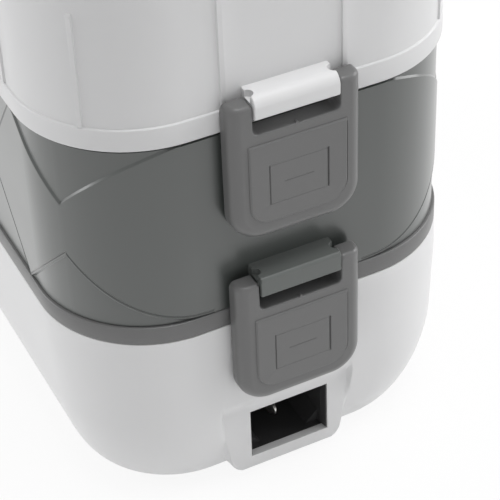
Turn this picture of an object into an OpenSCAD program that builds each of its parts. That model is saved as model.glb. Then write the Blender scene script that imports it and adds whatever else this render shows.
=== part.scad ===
// Electric lunch box: a heated base, a middle tier and a lid, stacked and held by four side latches.
// X runs along the box with the power inlet at +X, Z is up, and the origin is the middle of the footprint.

/* [Body] */
// Length over the lid's skirt
body_l = 228; // [210:1:250]
// Width over the lid's skirt
body_w = 120; // [112:1:136]
// Radius of the upright corners, over the lid's skirt
corner_r = 33; // [30:0.5:38]
// Thickness of the moulded walls
wall = 2.4; // [2:0.1:2.8]

/* [Heights] */
// Height of the base, from its underside to the ring band
base_h = 59.8; // [58:1:70]
// Height of the ring band
band_h = 5.6; // [5.4:0.1:8]
// Height of the middle tier
tier_h = 57; // [54:1:66]
// Height of the lid
lid_h = 58; // [56:1:68]
// Height of the skirt round the lid's lower edge
skirt_h = 6.3; // [4:0.1:8]
// Height of the rubber feet below the base
feet_h = 1.8; // [1:0.1:4]

/* [Outline steps] */
// How far the lid's wall stands back from its skirt
lid_step = 0.6; // [0.3:0.05:1]
// How far the tier's wall stands back from the skirt
tier_step = 0.8; // [0.3:0.05:1]
// How far the band and the base's top stand back from the skirt
base_step = 0.4; // [0.2:0.05:1]
// Depth of the sunk fields in the tier's pattern
relief_d = 0.4; // [0.3:0.05:0.8]
// Width of the upright ribs on the lid
rib_w = 1.4; // [1:0.1:2.4]
// How far the ribs stand out from the lid's wall
rib_up = 0.4; // [0.2:0.05:0.6]

/* [Base rounding] */
// Height of the rounding at the foot of the base
foot_round_v = 28.7; // [20:0.1:32]
// Inset of that rounding
foot_round_h = 9.2; // [6:0.1:12]
// Draft of the long sides
side_draft = 2; // [0.5:0.1:3]
// Draft of the ends
end_draft = 1; // [0.3:0.1:2]
// Radius of the lid's top edge
lid_round = 14; // [10:0.5:16]

/* [Power inlet] */
// Width of the inlet's opening
inlet_w = 24.7; // [22:0.1:28]
// Height of the inlet's opening
inlet_h = 17.4; // [16:0.1:19]
// Height of the opening's lower edge above the base's underside
inlet_rise = 5.6; // [5:0.1:7]
// Half width of the flat block around the inlet
inlet_block_hw = 18.2; // [16:0.1:20]
// Depth of the socket from its rim to its floor
inlet_depth = 16; // [14:0.5:18]

/* [Latches] */
// Width of a latch
latch_w = 37.2; // [34:0.1:40]
// Length of a latch below its cut-out
latch_drop = 33; // [30:0.1:36]
// Depth of a latch from front to back
latch_d = 6; // [5.6:0.1:6.4]
// Thickness of a latch's front wall
latch_t = 2.4; // [2:0.1:2.6]
// Width of the cut-out between a latch's ears
latch_cut_w = 24.5; // [22:0.1:26]
// Height of the hinge axis above the cut-out's lower edge
latch_axis_h = 6.9; // [6.7:0.1:7.4]
// Radius of the hinge pins
pin_r = 1; // [0.8:0.05:1.2]
// Distance of an upper latch's cut-out above its seam
upper_latch_rise = 0.3; // [0.1:0.1:3]
// Distance of a lower latch's cut-out above its seam
lower_latch_rise = 1.7; // [1.2:0.1:4]

/* [Heating tray and food boxes] */
// Thickness of the pressed metal pans
pan_t = 0.8; // [0.6:0.1:1.2]
// Inset of the tray's wall from the outline
tray_inset = 11; // [10.5:0.1:12]
// Height of the tray's underside above the base's underside
tray_rise = 27.2; // [27:0.1:29]
// Free height above the lower food box's cover
lower_headroom = 4.9; // [1:0.1:12]
// Free height above the upper food box's cover
upper_headroom = 13.5; // [1:0.1:20]
// Distance of the tier's floor below the top of the tier
liner_drop = 32; // [28:0.5:34]

/* [Handle and vent] */
// Length of the carry handle
handle_l = 116; // [100:1:124]
// Reach of the handle from its hinge to its outer edge
handle_reach = 41; // [36:0.5:42]
// Thickness of the handle
handle_t = 8; // [7:0.5:9]
// Width of the handle's grip
grip_w = 14; // [12:0.5:16]
// Depth of the pocket that the handle folds into
pocket_d = 11; // [10.5:0.5:11.5]
// Radius of the vent plug's head
vent_r = 6; // [5:0.5:7]

/* [Clearances] */
// Gap between pieces that lift or swing apart
gap = 0.3; // [0.2:0.05:0.5]
// Gap between pieces that are pushed together
fit_gap = 0.2; // [0.1:0.05:0.3]
// Radial play of a turning pin in its bore
running_gap = 0.05; // [0.02:0.01:0.1]

/* [Hidden] */
$fn = 64;
HULL_FN = 32;
EPS = 0.01;
SEAL_T = 0.8;

WHITE = [0.86, 0.86, 0.85];
GREY = [0.42, 0.43, 0.43];
TIER_GREY = [0.5, 0.52, 0.51];
BLACK = [0.08, 0.08, 0.09];
STEEL = [0.75, 0.76, 0.78];
SILICONE = [0.9, 0.9, 0.88];
BRASS_COLOUR = [0.78, 0.62, 0.3];

// Heights of the seams
z_base = feet_h;
z_band = z_base + base_h;
z_seam1 = z_band + band_h;
z_seam2 = z_seam1 + tier_h;
z_top = z_seam2 + lid_h;

// The locating lips and the seals stand in steps inside the walls
lip_h = 3;
lip_t = 1.6;
tier_inner = tier_step + wall;
lip_inset = tier_inner + gap;
lip_inner = lip_inset + lip_t;
seal_inset = lip_inner + gap + fit_gap;
seal_w = 3.4;
ledge_inner = seal_inset + seal_w + fit_gap;
ledge_t = 2;
ledge_gap = 0.4;

// Tray, gasket and ring ledge
z_tray = z_base + tray_rise;
z_ledge = z_band + 2.8;
z_flange = z_ledge + SEAL_T;
flange_inset = lip_inner + 0.4;

// Tier ledges, liner and seal
z_tier_ledge = z_seam1 + lip_h + ledge_gap;
liner_flange_drop = 3.1;
z_liner_flange = z_seam2 - liner_flange_drop - pan_t;
z_liner_floor = z_seam2 - liner_drop;

// Lid liner
z_lid_flange = z_seam2 + ledge_t;
z_pocket = z_top - pocket_d;
liner_headroom = 1;
z_lid_liner = z_pocket - wall - liner_headroom;

// Food boxes
box_inset = tray_inset + pan_t + 2.2;
box_rim_w = 2.5;
z_lower_box = z_tray + pan_t + gap;
z_upper_box = z_liner_floor + pan_t + gap;
cover_wall = 1.2;
cover_t = 1.8;
cover_skirt = 3.5;
cover_grip_h = 2;
cover_grip_l = 70;
cover_grip_w = 14;
seal_drop = 1.1;
cover_stack = gap + seal_drop + cover_t + cover_grip_h;
lower_box_h = z_liner_floor - z_lower_box - cover_stack - lower_headroom;
upper_box_h = z_lid_liner - pan_t - z_upper_box - cover_stack - upper_headroom;

// Latch places: the front plane of an upper latch, and of a lower one
latch_clear = 0.64;
upper_latch_x = body_l / 2 + latch_clear + latch_d;
lower_latch_out = 0.26;
lower_latch_x = upper_latch_x + lower_latch_out;
z_upper_cut = z_seam2 + upper_latch_rise;
z_lower_cut = z_seam1 + lower_latch_rise;
axis_back = latch_d / 2;
panel_up = 0.6;
rim_r = 3.5;
ear_top = 2;
ear_back_r = 3.3;
ear_front_r = 1.2;
cut_r = 1.6;
pin_half = latch_w / 2 - 1;
pin_bore_r = pin_r + running_gap;
ear_bore_r = pin_r + 0.01;
block_hw = latch_cut_w / 2 - gap;
block_low = 4.8;
block_top = 10.8;
nose_r = 1.8;
notch_r = 1.6;
notch_back = 0.9;
terminal_run = 2;
ledge_drop = latch_drop - 14;
catch_h = 3;
hook_h = 2;
catch_reach = 2.3;
catch_hw = 10;

// Inlet
inlet_x = body_l / 2 - 2.8;
inlet_block_low = 1.3;
inlet_block_r = 3;
inlet_block_left = -inlet_block_hw - 2.2;
inlet_block_w = inlet_block_hw - inlet_block_left;
z_inlet = z_base + inlet_rise;
z_inlet_mid = z_inlet + inlet_h / 2;
socket_wall = 1.9;
socket_back = 6;
socket_front_x = inlet_x - wall - fit_gap;
socket_back_x = socket_front_x - inlet_depth - socket_back;
blade_w = 2;
blade_h = 4;
blade_pitch = 7;
terminal_x = socket_back_x - 3.5;
line_z = z_inlet_mid + 2;
earth_z = z_inlet_mid - 4.1;
line_tip_x = socket_front_x - 7.2;
earth_tip_x = socket_front_x - 6.2;
cheek_t = 0.7;
cheek_tip = 0.15;
cheek_l = wall + fit_gap - 0.4;
cavity_w = inlet_w - 2 * (cheek_t + fit_gap);

// Fixings under the tray
post_x = 62;
post_y = 32;
post_r = 5;
boss_r = 4;
boss_h = 4;
screw_r = 1.5;
screw_head_r = 3;
clamp_x = 54;
clamp_screw_r = 1.25;
spreader_t = 3;
spreader_l = 92;
spreader_w = 52;
ptc_t = 2.6;
ptc_l = 60;
ptc_w = 30;
clamp_t = 1.4;
z_ptc = z_tray - spreader_t - ptc_t;
z_clamp = z_ptc - clamp_t;
foot_r = 6.5;
foot_x = 88;
foot_y = 27;
stud_x = 66;
stud_y = -15;
stud_r = 2;
wire_r = 1;

// Handle
handle_axis_z = z_top - 5.5;
handle_pin_r = 2;
handle_pin_l = 20;
arm_w = 12;
pocket_hl = handle_l / 2 + 2;
pocket_back = handle_t / 2 + 3;
pocket_front = handle_reach + 2;
vent_x = 84;
vent_recess = 1.8;
vent_hole_r = 4;
vent_stem_r = vent_hole_r - gap;

// Outline of the box, set in by d
module outline(d) {
    rounded_rect(body_l - 2 * d, body_w - 2 * d, max(corner_r - d, 3));
}

module rounded_rect(l, w, r, fn = $fn) {
    square([l - 2 * r, w], center = true);
    square([l, w - 2 * r], center = true);
    for (sx = [-1, 1], sy = [-1, 1])
        translate([sx * (l / 2 - r), sy * (w / 2 - r)]) circle(r, $fn = fn);
}

module plate(d, z, h) {
    translate([0, 0, z]) linear_extrude(h) outline(d);
}

module ring(d_out, d_in, z, h) {
    translate([0, 0, z]) linear_extrude(h) difference() {
        outline(d_out);
        outline(d_in);
    }
}

// An open pan with a floor, set in by d
module pan(d, z_floor, z_rim, t) {
    plate(d, z_floor, t);
    ring(d, d + t, z_floor, z_rim - z_floor);
}

// Base: the profile's inset below the band, as [height, end inset, side inset, corner radius]
ROUND_POWER = 1.65;
ROUND_STEPS = 6;
draft_top = z_band - 8.9;
base_r_low = corner_r - 4;
function drafted(z, draft) = draft * max(draft_top - z, 0) / (draft_top - z_base);
function base_slice(z, inset) = [z, base_step + drafted(z, end_draft) + inset,
    base_step + drafted(z, side_draft * 1.5) + inset,
    base_r_low + (corner_r - base_r_low) * (z - z_base) / base_h - base_step - inset * 0.3];
function round_z(a) = z_base + foot_round_v * (1 - pow(sin(a), 2 / ROUND_POWER));
function round_in(a) = foot_round_h * (1 - pow(cos(a), 2 / ROUND_POWER));
BASE_PROFILE = concat([base_slice(z_band, 0), base_slice(draft_top, 0)],
    [for (i = [0 : ROUND_STEPS]) let (a = 90 * i / ROUND_STEPS) base_slice(round_z(a), round_in(a))]);

// The smooth body through a list of slices, all set in by d and with the floor at z_floor
module lofted(profile, d, z_floor) {
    lift = (z_band - EPS - z_floor) / base_h;
    hull()
        for (s = profile)
            translate([0, 0, z_floor + (s[0] - z_base) * lift])
                linear_extrude(EPS)
                    rounded_rect(body_l - 2 * (s[1] + d), body_w - 2 * (s[2] + d),
                        max(s[3] - d, 4), HULL_FN);
}

module at_ends(x) {
    translate([x, 0, 0]) children();
    mirror([1, 0, 0]) translate([x, 0, 0]) children();
}

module four(x, y) {
    for (sx = [-1, 1], sy = [-1, 1]) translate([sx * x, sy * y, 0]) children();
}

// Ledge on a wall that a latch's hook closes under; the frame is the latch's own
module catch_ledge(back) {
    translate([-latch_d - latch_clear - back - 1, -catch_hw, -ledge_drop])
        cube([1 + back + catch_reach - 2 * gap, 2 * catch_hw, catch_h]);
}

// Block that carries a latch's hinge pin, in the latch's own frame
module hinge_block(back) {
    depth = latch_d + latch_clear + back + 1;
    difference() {
        union() {
            translate([-depth, -block_hw, block_low])
                cube([depth - axis_back - 0.6, 2 * block_hw, block_top - block_low]);
            translate([0, block_hw, 0]) rotate([90, 0, 0]) linear_extrude(2 * block_hw) {
                translate([-depth + 1, block_low])
                    square([depth - 1, block_top - nose_r - block_low]);
                translate([-axis_back - 1, block_low])
                    square([axis_back + 1 - nose_r, block_top - block_low]);
                translate([-nose_r, block_top - nose_r]) circle(nose_r);
            }
        }
        for (s = [-1, 1])
            translate([-axis_back - notch_back, s * block_hw, latch_axis_h + 1.9])
                cylinder(r = notch_r, h = block_top);
        translate([-axis_back, block_hw + 1, latch_axis_h]) rotate([90, 0, 0])
            cylinder(r = pin_bore_r, h = 2 * block_hw + 2);
    }
}

// Front outline of a latch, set in by d
module latch_outline(d, top = 0) {
    hw = latch_w / 2 - d;
    r = 9 - d;
    translate([-hw, -latch_drop + d + r]) square([2 * hw, latch_drop - d - r + top]);
    translate([-hw + r, -latch_drop + d]) square([2 * hw - 2 * r, 2 * r]);
    for (s = [-1, 1]) translate([s * (hw - r), -latch_drop + d + r]) circle(r, $fn = HULL_FN);
}

module upright(x, t) {
    translate([x, 0, 0]) rotate([90, 0, 90]) linear_extrude(t) children();
}

module frame_groove(hw, z_low, z_high, w, x, depth) {
    upright(x - depth, depth + EPS) difference() {
        translate([-hw, z_low]) square([2 * hw, z_high - z_low]);
        translate([-hw + w, z_low + w]) square([2 * (hw - w), z_high - z_low - 2 * w]);
    }
}

// Side view of an ear: round behind the pin, flat on top and rounded in front
module ear_profile() {
    top = latch_axis_h + ear_top;
    back_z = latch_axis_h + sqrt(pow(ear_back_r, 2) - pow(axis_back, 2));
    polygon(concat([[-panel_up, -EPS], [-panel_up, top - ear_front_r]],
        [for (i = [1 : 4]) let (a = 22.5 * i) [-panel_up - ear_front_r * (1 - cos(a)),
            top - ear_front_r * (1 - sin(a))]],
        [[-axis_back - sqrt(pow(ear_back_r, 2) - pow(ear_top, 2)), top], [-latch_d, back_z], [-latch_d, -EPS]]));
}

// A latch in its own frame: x = 0 is its front, z = 0 the lower edge of its cut-out
module latch() {
    panel_hw = 13.9;
    panel_r = 6;
    panel_top = -2.9;
    panel_low = 5.6 - latch_drop;
    groove_hw = 8.6;
    groove_w = 0.8;
    groove_d = 0.45;
    groove_top = -9.6;
    groove_low = -22;
    bar_hw = 4;
    ear_w = (latch_w - latch_cut_w) / 2;
    difference() {
        union() {
            hull() {
                for (a = [0, 30, 60, 89])
                    upright(-panel_up - rim_r * (1 - sin(a)) - EPS, EPS) latch_outline(rim_r * (1 - cos(a)));
                upright(-latch_d, EPS) latch_outline(0);
            }
            for (s = [-1, 1]) {
                translate([0, s * (latch_w + latch_cut_w) / 4 + ear_w / 2, 0])
                    rotate([90, 0, 0]) linear_extrude(ear_w) ear_profile();
                // round corner of the cut-out
                upright(-latch_d, latch_d - panel_up) difference() {
                    translate([s * (latch_cut_w - cut_r) / 2 - cut_r / 2, -EPS]) square([cut_r, cut_r + EPS]);
                    translate([s * (latch_cut_w / 2 - cut_r), cut_r]) circle(cut_r);
                }
            }
            upright(-latch_t, latch_t) {
                translate([-panel_hw, panel_low + panel_r])
                    square([2 * panel_hw, panel_top - panel_low - panel_r]);
                translate([-panel_hw + panel_r, panel_low])
                    square([2 * (panel_hw - panel_r), panel_r]);
                for (s = [-1, 1]) translate([s * (panel_hw - panel_r), panel_low + panel_r])
                    circle(panel_r);
            }
            translate([-latch_d + catch_reach - 1, -catch_hw + 1, -ledge_drop - gap - hook_h])
                cube([latch_d - catch_reach - 0.5, 2 * catch_hw - 2, hook_h]);
        }
        difference() {
            upright(-latch_d - 1, 1 + latch_d - latch_t - panel_up) latch_outline(latch_t, -latch_t);
            translate([-latch_d + catch_reach - 1, -catch_hw + 1, -ledge_drop - gap - hook_h])
                cube([latch_d, 2 * catch_hw - 2, hook_h]);
        }
        // the rim stops short of the catch ledge, which passes behind it when the stack opens
        translate([-latch_d - 1, -catch_hw - 1, -latch_drop - 1])
            cube([catch_reach, 2 * catch_hw + 2, latch_t + 2]);
        frame_groove(groove_hw, groove_low, groove_top, groove_w, 0, groove_d);
        upright(-groove_d, groove_d + EPS)
            translate([-bar_hw, (groove_low + groove_top) / 2 - groove_w / 2])
                square([2 * bar_hw, groove_w]);
        // the pin is pushed in from one side, so the other ear keeps a closed face
        translate([-axis_back, -pin_half - EPS, latch_axis_h]) rotate([-90, 0, 0])
            cylinder(r = ear_bore_r, h = latch_w);
    }
}

module latch_pin() {
    translate([-axis_back, pin_half, latch_axis_h]) rotate([90, 0, 0])
        cylinder(r = pin_r, h = 2 * pin_half);
}

module upper_place() {
    translate([upper_latch_x, 0, z_upper_cut]) children();
}

module lower_place() {
    translate([lower_latch_x, 0, z_lower_cut]) children();
}

// A run of round wire through a list of points, with a ring of WIRE_SIDES points at each of them
WIRE_SIDES = 8;
WIRE_REF = [0.31, 0.17, 0.93];
function unit(v) = v / norm(v);
function heading(points, i) = unit(
    (i > 0 ? unit(points[i] - points[i - 1]) : [0, 0, 0])
    + (i < len(points) - 1 ? unit(points[i + 1] - points[i]) : [0, 0, 0]));
module wire(points, r = wire_r) {
    n = len(points);
    rings = [for (i = [0 : n - 1]) let (t = heading(points, i), u = unit(cross(t, WIRE_REF)), v = cross(t, u))
        for (k = [0 : WIRE_SIDES - 1]) let (a = 360 * k / WIRE_SIDES) points[i] + r * (cos(a) * u + sin(a) * v)];
    sides = [for (i = [0 : n - 2], k = [0 : WIRE_SIDES - 1])
        let (a = i * WIRE_SIDES + k, b = i * WIRE_SIDES + (k + 1) % WIRE_SIDES)
            each [[b, a, a + WIRE_SIDES], [b + WIRE_SIDES, b, a + WIRE_SIDES]]];
    ends = [[for (k = [0 : WIRE_SIDES - 1]) k], [for (k = [WIRE_SIDES - 1 : -1 : 0]) (n - 1) * WIRE_SIDES + k]];
    polyhedron(points = rings, faces = concat(sides, ends));
}

// ---- Base ----

// Front outline of the inlet's block, with its lower corners rounded
module block_face() {
    low = z_base + inlet_block_low;
    translate([inlet_block_left, low + inlet_block_r])
        square([inlet_block_w, inlet_rise + inlet_h + 4 - inlet_block_r]);
    translate([inlet_block_left + inlet_block_r, low])
        square([inlet_block_w - 2 * inlet_block_r, 2 * inlet_block_r]);
    for (y = [inlet_block_left + inlet_block_r, inlet_block_hw - inlet_block_r])
        translate([y, low + inlet_block_r]) circle(inlet_block_r);
}

module base_shell() {
    color(WHITE) difference() {
        union() {
            difference() {
                lofted(BASE_PROFILE, 0, z_base);
                difference() {
                    lofted(BASE_PROFILE, wall, z_base + wall);
                    // the floor of the inlet's block
                    translate([socket_back_x - 6, -inlet_block_hw, 0])
                        cube([body_l, 2 * inlet_block_hw, z_inlet - socket_wall + EPS]);
                }
                plate(base_step + wall, z_band - 1, 2);
            }
            // flat block around the inlet
            difference() {
                intersection() {
                    upright(socket_back_x + 2, inlet_x - socket_back_x - 2) block_face();
                    translate([0, 0, z_base]) linear_extrude(base_h)
                        rounded_rect(2 * inlet_x, 2 * inlet_block_hw + 60, 4);
                }
                translate([socket_back_x - 6, -body_w / 2, z_inlet + inlet_h + socket_wall])
                    cube([inlet_x - socket_back_x + 6 - wall, body_w, tray_rise]);
            }
            four(post_x, post_y) translate([0, 0, z_base])
                cylinder(r = post_r, h = tray_rise - boss_h);
            translate([retainer_x, 0, z_base]) cylinder(r = boss_r, h = retainer_z - z_base);
            at_ends(lower_latch_x) translate([0, 0, z_lower_cut]) catch_ledge(base_step + lower_latch_out);
        }
        // facet above the inlet
        translate([inlet_x, inlet_block_left, z_base - 1])
            cube([20, inlet_block_w, inlet_rise + inlet_h + 3]);
        translate([inlet_x - wall - 1, -inlet_w / 2, z_inlet]) cube([20, inlet_w, inlet_h]);
        translate([socket_back_x - 8, -inlet_w / 2 - socket_wall - fit_gap, z_inlet - socket_wall])
            cube([inlet_x - wall - socket_back_x + 8, inlet_w + 2 * (socket_wall + fit_gap),
                inlet_h + 2 * socket_wall + fit_gap]);
        four(post_x, post_y) {
            translate([0, 0, z_base - 1]) cylinder(r = screw_head_r + gap, h = 4.2);
            translate([0, 0, z_base - 1]) cylinder(r = screw_r + fit_gap, h = tray_rise);
        }
        four(foot_x, foot_y) translate([0, 0, z_base - 1]) cylinder(r = foot_r + fit_gap, h = 1.8);
        translate([retainer_x, 0, z_base + wall]) cylinder(r = clamp_screw_r + running_gap, h = 20);
        translate([lens_x, 0, z_lens]) rotate([-90, 0, 0])
            cylinder(r = lens_r + fit_gap, h = body_w);
    }
}

module base_ring() {
    color(GREY) {
        ring(base_step, lip_inner + 0.1, z_band, band_h);
        ring(lip_inset, lip_inner, z_seam1 - 1, lip_h + 1);
        ring(base_step + wall + fit_gap, lip_inner + 0.1, z_band - 3, 3 + EPS);
        ring(lip_inner, ledge_inner, z_band, z_ledge - z_band);
    }
}

module heating_tray() {
    color(STEEL) {
        difference() {
            union() {
                pan(tray_inset, z_tray, z_flange + pan_t, pan_t);
                four(post_x, post_y) translate([0, 0, z_tray - boss_h]) cylinder(r = boss_r, h = boss_h + 0.4);
                for (s = [-1, 1]) translate([s * clamp_x, 0, z_clamp + clamp_t])
                    cylinder(r = 3.5, h = z_tray - z_clamp - clamp_t + 0.4);
            }
            four(post_x, post_y) translate([0, 0, z_tray - boss_h - 1])
                cylinder(r = screw_r + running_gap, h = boss_h + 0.8);
            for (s = [-1, 1]) translate([s * clamp_x, 0, z_clamp])
                cylinder(r = clamp_screw_r + running_gap, h = z_tray - z_clamp - 0.2);
        }
        ring(flange_inset, tray_inset + pan_t, z_flange, pan_t);
        translate([stud_x, stud_y, z_tray - 7]) cylinder(r = stud_r, h = 7.4);
    }
}

module tray_gasket() {
    color(SILICONE) ring(flange_inset + fit_gap, ledge_inner - fit_gap, z_ledge, SEAL_T);
}

module heat_spreader() {
    color(STEEL) translate([0, 0, z_tray - spreader_t]) linear_extrude(spreader_t)
        rounded_rect(spreader_l, spreader_w, 5);
}

module ptc_element() {
    color([0.8, 0.55, 0.3]) {
        translate([-ptc_l / 2, -ptc_w / 2, z_ptc]) cube([ptc_l, ptc_w, ptc_t]);
        for (s = [-1, 1]) translate([s * (ptc_l / 2 + 3) - 4, 1.5 - ptc_w / 2, z_ptc]) cube([8, 3, 0.8]);
    }
}

module heater_clamp() {
    color(STEEL) translate([0, 0, z_clamp]) linear_extrude(clamp_t) difference() {
        rounded_rect(2 * clamp_x + 14, 14, 4);
        for (s = [-1, 1]) translate([s * clamp_x, 0]) circle(clamp_screw_r + fit_gap);
    }
}

module pan_screw(r, head_r, l, head_h) {
    cylinder(r = r, h = l);
    translate([0, 0, -head_h]) difference() {
        cylinder(r = head_r, h = head_h);
        translate([-head_r * 0.6, -0.35, -1]) cube([head_r * 1.2, 0.7, 1.6]);
        translate([-0.35, -head_r * 0.6, -1]) cube([0.7, head_r * 1.2, 1.6]);
    }
}

module clamp_screws() {
    color(STEEL) for (s = [-1, 1]) translate([s * clamp_x, 0, z_clamp])
        pan_screw(clamp_screw_r, 2.6, z_tray - z_clamp - 0.6, 1.8);
}

module base_screws() {
    color(STEEL) four(post_x, post_y) translate([0, 0, z_base + 3.2])
        pan_screw(screw_r, screw_head_r, tray_rise - 3.8, 2.2);
}

thermostat_x = -74;
module thermostat() {
    color(BLACK) translate([thermostat_x, 0, z_tray - 7]) cylinder(r = 8, h = 7);
    color(BLACK) for (s = [-1, 1]) translate([thermostat_x - 2, s * 4 - 0.4, z_tray - 12])
        cube([4, 0.8, 5.5]);
}

module thermal_fuse() {
    color(WHITE) translate([64, 14, z_tray - 2.4]) rotate([0, 90, 0]) cylinder(r = 2, h = 14);
    color(WHITE) translate([66, 11.5, z_tray - 0.6]) cube([10, 5, 0.6]);
}

module inlet_socket() {
    color(BLACK) difference() {
        union() {
            translate([socket_back_x, -inlet_w / 2 - socket_wall, z_inlet - socket_wall + fit_gap])
                cube([socket_front_x - socket_back_x, inlet_w + 2 * socket_wall,
                    inlet_h + 2 * socket_wall - fit_gap]);
            // cheeks that line the two sides of the opening and thin out towards its front
            for (s = [0, 1])
                mirror([0, s, 0]) translate([socket_front_x - EPS, cavity_w / 2, z_inlet + fit_gap])
                    linear_extrude(inlet_h - 2 * fit_gap)
                        polygon([[0, 0], [cheek_l, cheek_t - cheek_tip], [cheek_l, cheek_t], [0, cheek_t]]);
        }
        difference() {
            translate([socket_front_x - inlet_depth, -cavity_w / 2, z_inlet])
                cube([inlet_depth + 1, cavity_w, inlet_h]);
            // the two lower corners of the cavity are cut off
            for (s = [-1, 1]) translate([socket_front_x - inlet_depth - 1, s * cavity_w / 2, z_inlet])
                rotate([0, 90, 0]) cylinder(r = 4, h = inlet_depth - 1, $fn = 4);
        }
        for (s = [-1, 1]) blade_slot(s * blade_pitch, line_z);
        blade_slot(0, earth_z);
    }
}

module blade_slot(y, z) {
    translate([socket_back_x - 1, y - blade_w / 2 - running_gap, z - blade_h / 2 - running_gap])
        cube([socket_back + 2, blade_w + 2 * running_gap, blade_h + 2 * running_gap]);
}

module blade(y, z, tip) {
    translate([terminal_x, y - blade_w / 2, z - blade_h / 2])
        cube([tip - terminal_x, blade_w, blade_h]);
}

module inlet_pins() {
    color(BRASS_COLOUR) {
        for (s = [-1, 1]) blade(s * blade_pitch, line_z, line_tip_x);
        blade(0, earth_z, earth_tip_x);
    }
}

retainer_x = socket_back_x - 9;
retainer_t = 1.6;
retainer_z = z_base + 5.6;
module inlet_retainer() {
    color(STEEL) difference() {
        union() {
            translate([socket_back_x - retainer_t, -12, retainer_z])
                cube([retainer_t, 24, inlet_h + 1]);
            translate([retainer_x - 4.5, -5, retainer_z])
                cube([socket_back_x - retainer_x + 4.5, 10, retainer_t]);
        }
        translate([socket_back_x - 4, -blade_pitch - 2.4, earth_z - 3.2])
            cube([8, 2 * blade_pitch + 4.8, line_z - earth_z + 6.4]);
        translate([retainer_x, 0, retainer_z - 1]) cylinder(r = clamp_screw_r + fit_gap, h = 4);
    }
}

module retainer_screw() {
    color(STEEL) translate([retainer_x, 0, retainer_z + retainer_t]) mirror([0, 0, 1])
        pan_screw(clamp_screw_r, 2.4, retainer_t + 3, 1.4);
}

module live_wire() {
    color([0.45, 0.28, 0.16]) wire([[terminal_x, blade_pitch, line_z],
        [terminal_x - terminal_run, blade_pitch, line_z], [74, 8, 17], [58, 19, 12], [20, 22, 10],
        [-40, 20, 9], [-64, 9, 9], [thermostat_x, 4, 12], [thermostat_x, 4, z_tray - 12]]);
}

module neutral_wire() {
    color([0.2, 0.35, 0.7]) wire([[terminal_x, -blade_pitch, line_z],
        [terminal_x - terminal_run, -blade_pitch, line_z], [74, -8, 17], [60, -18, 12], [42, -18, 13],
        [34, -12, 16], [34, -12, z_ptc]]);
}

module link_wire() {
    color([0.8, 0.8, 0.78]) wire([[thermostat_x, -4, z_tray - 12], [thermostat_x, -4, 12], [-62, -12, 10],
        [-44, -17, 13], [-34, -12, 16], [-34, -12, z_ptc]]);
}

module earth_wire() {
    color([0.45, 0.62, 0.2]) {
        wire([[terminal_x, 0, earth_z], [78, 0, earth_z], [72, -4, 19], [71.6, -13, 23],
            [stud_x + 4.4, stud_y, z_tray - 3.2]]);
        difference() {
            translate([stud_x, stud_y, z_tray - 4.2]) cylinder(r = 5.2, h = 1.2);
            translate([stud_x, stud_y, z_tray - 5]) cylinder(r = stud_r + fit_gap, h = 3);
        }
    }
}

module earth_nut() {
    color(STEEL) translate([stud_x, stud_y, z_tray - 6.6]) difference() {
        cylinder(r = 3.6, h = 2.4, $fn = 6);
        translate([0, 0, -1]) cylinder(r = stud_r + running_gap, h = 5);
    }
}

lens_x = 70;
lens_r = 3;
z_lens = z_base + 46;
lens_face = body_w / 2 - base_step - drafted(z_lens, side_draft * 1.5);
module indicator_lens() {
    color([0.9, 0.35, 0.2]) translate([lens_x, 0, z_lens]) rotate([-90, 0, 0]) {
        translate([0, 0, lens_face - wall - 1.7]) cylinder(r = lens_r, h = wall + 2);
        translate([0, 0, lens_face - wall - 1.9]) cylinder(r = lens_r + 1.2, h = 1.5);
    }
}

module indicator_lamp() {
    color([0.9, 0.9, 0.85]) translate([lens_x, 0, z_lens]) rotate([-90, 0, 0])
        translate([0, 0, lens_face - wall - 5.4]) {
            cylinder(r = 2.4, h = 3.5);
            translate([-4, -3, 0]) cube([8, 6, 1]);
        }
}

module rubber_feet() {
    color(BLACK) four(foot_x, foot_y) cylinder(r = foot_r, h = feet_h + 0.8);
}

// ---- Food boxes ----

module food_box(z, h) {
    color(STEEL) {
        pan(box_inset + box_rim_w, z, z + h, pan_t);
        ring(box_inset, box_inset + box_rim_w + pan_t, z + h - pan_t, pan_t);
    }
}

module food_cover(z_rim) {
    z_plate = z_rim + gap + seal_drop;
    color([0.88, 0.89, 0.9]) {
        plate(box_inset - gap - cover_wall, z_plate, cover_t);
        ring(box_inset - gap - cover_wall, box_inset - gap, z_plate - cover_skirt, cover_skirt + EPS);
        translate([0, 0, z_plate + cover_t - EPS]) linear_extrude(cover_grip_h)
            rounded_rect(cover_grip_l, cover_grip_w, 6);
    }
}

module food_cover_seal(z_rim) {
    color(SILICONE) ring(box_inset + fit_gap, box_inset + box_rim_w, z_rim + gap, seal_drop);
}

z_lower_rim = z_lower_box + lower_box_h;
z_upper_rim = z_upper_box + upper_box_h;
module lower_container() { food_box(z_lower_box, lower_box_h); }
module lower_cover() { food_cover(z_lower_rim); }
module lower_cover_seal() { food_cover_seal(z_lower_rim); }
module upper_container() { food_box(z_upper_box, upper_box_h); }
module upper_cover() { food_cover(z_upper_rim); }
module upper_cover_seal() { food_cover_seal(z_upper_rim); }

// ---- Middle tier ----

// Pattern on the tier: fields are sunk above and below a raised belt. Along the side the belt
// crosses itself three times, and round the corner it narrows in a long arc.
side_half = body_l / 2 - corner_r;
cross_pitch = side_half * 0.652;
waist = 1;
belt_start = corner_r - tier_step;
field_z = tier_h / 2;
apex_z = 8;
arc_end = 0.8;

module relief_skin() {
    ring(tier_step - 1, tier_step + relief_d, z_seam1 - 1, tier_h + 2);
}

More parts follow.
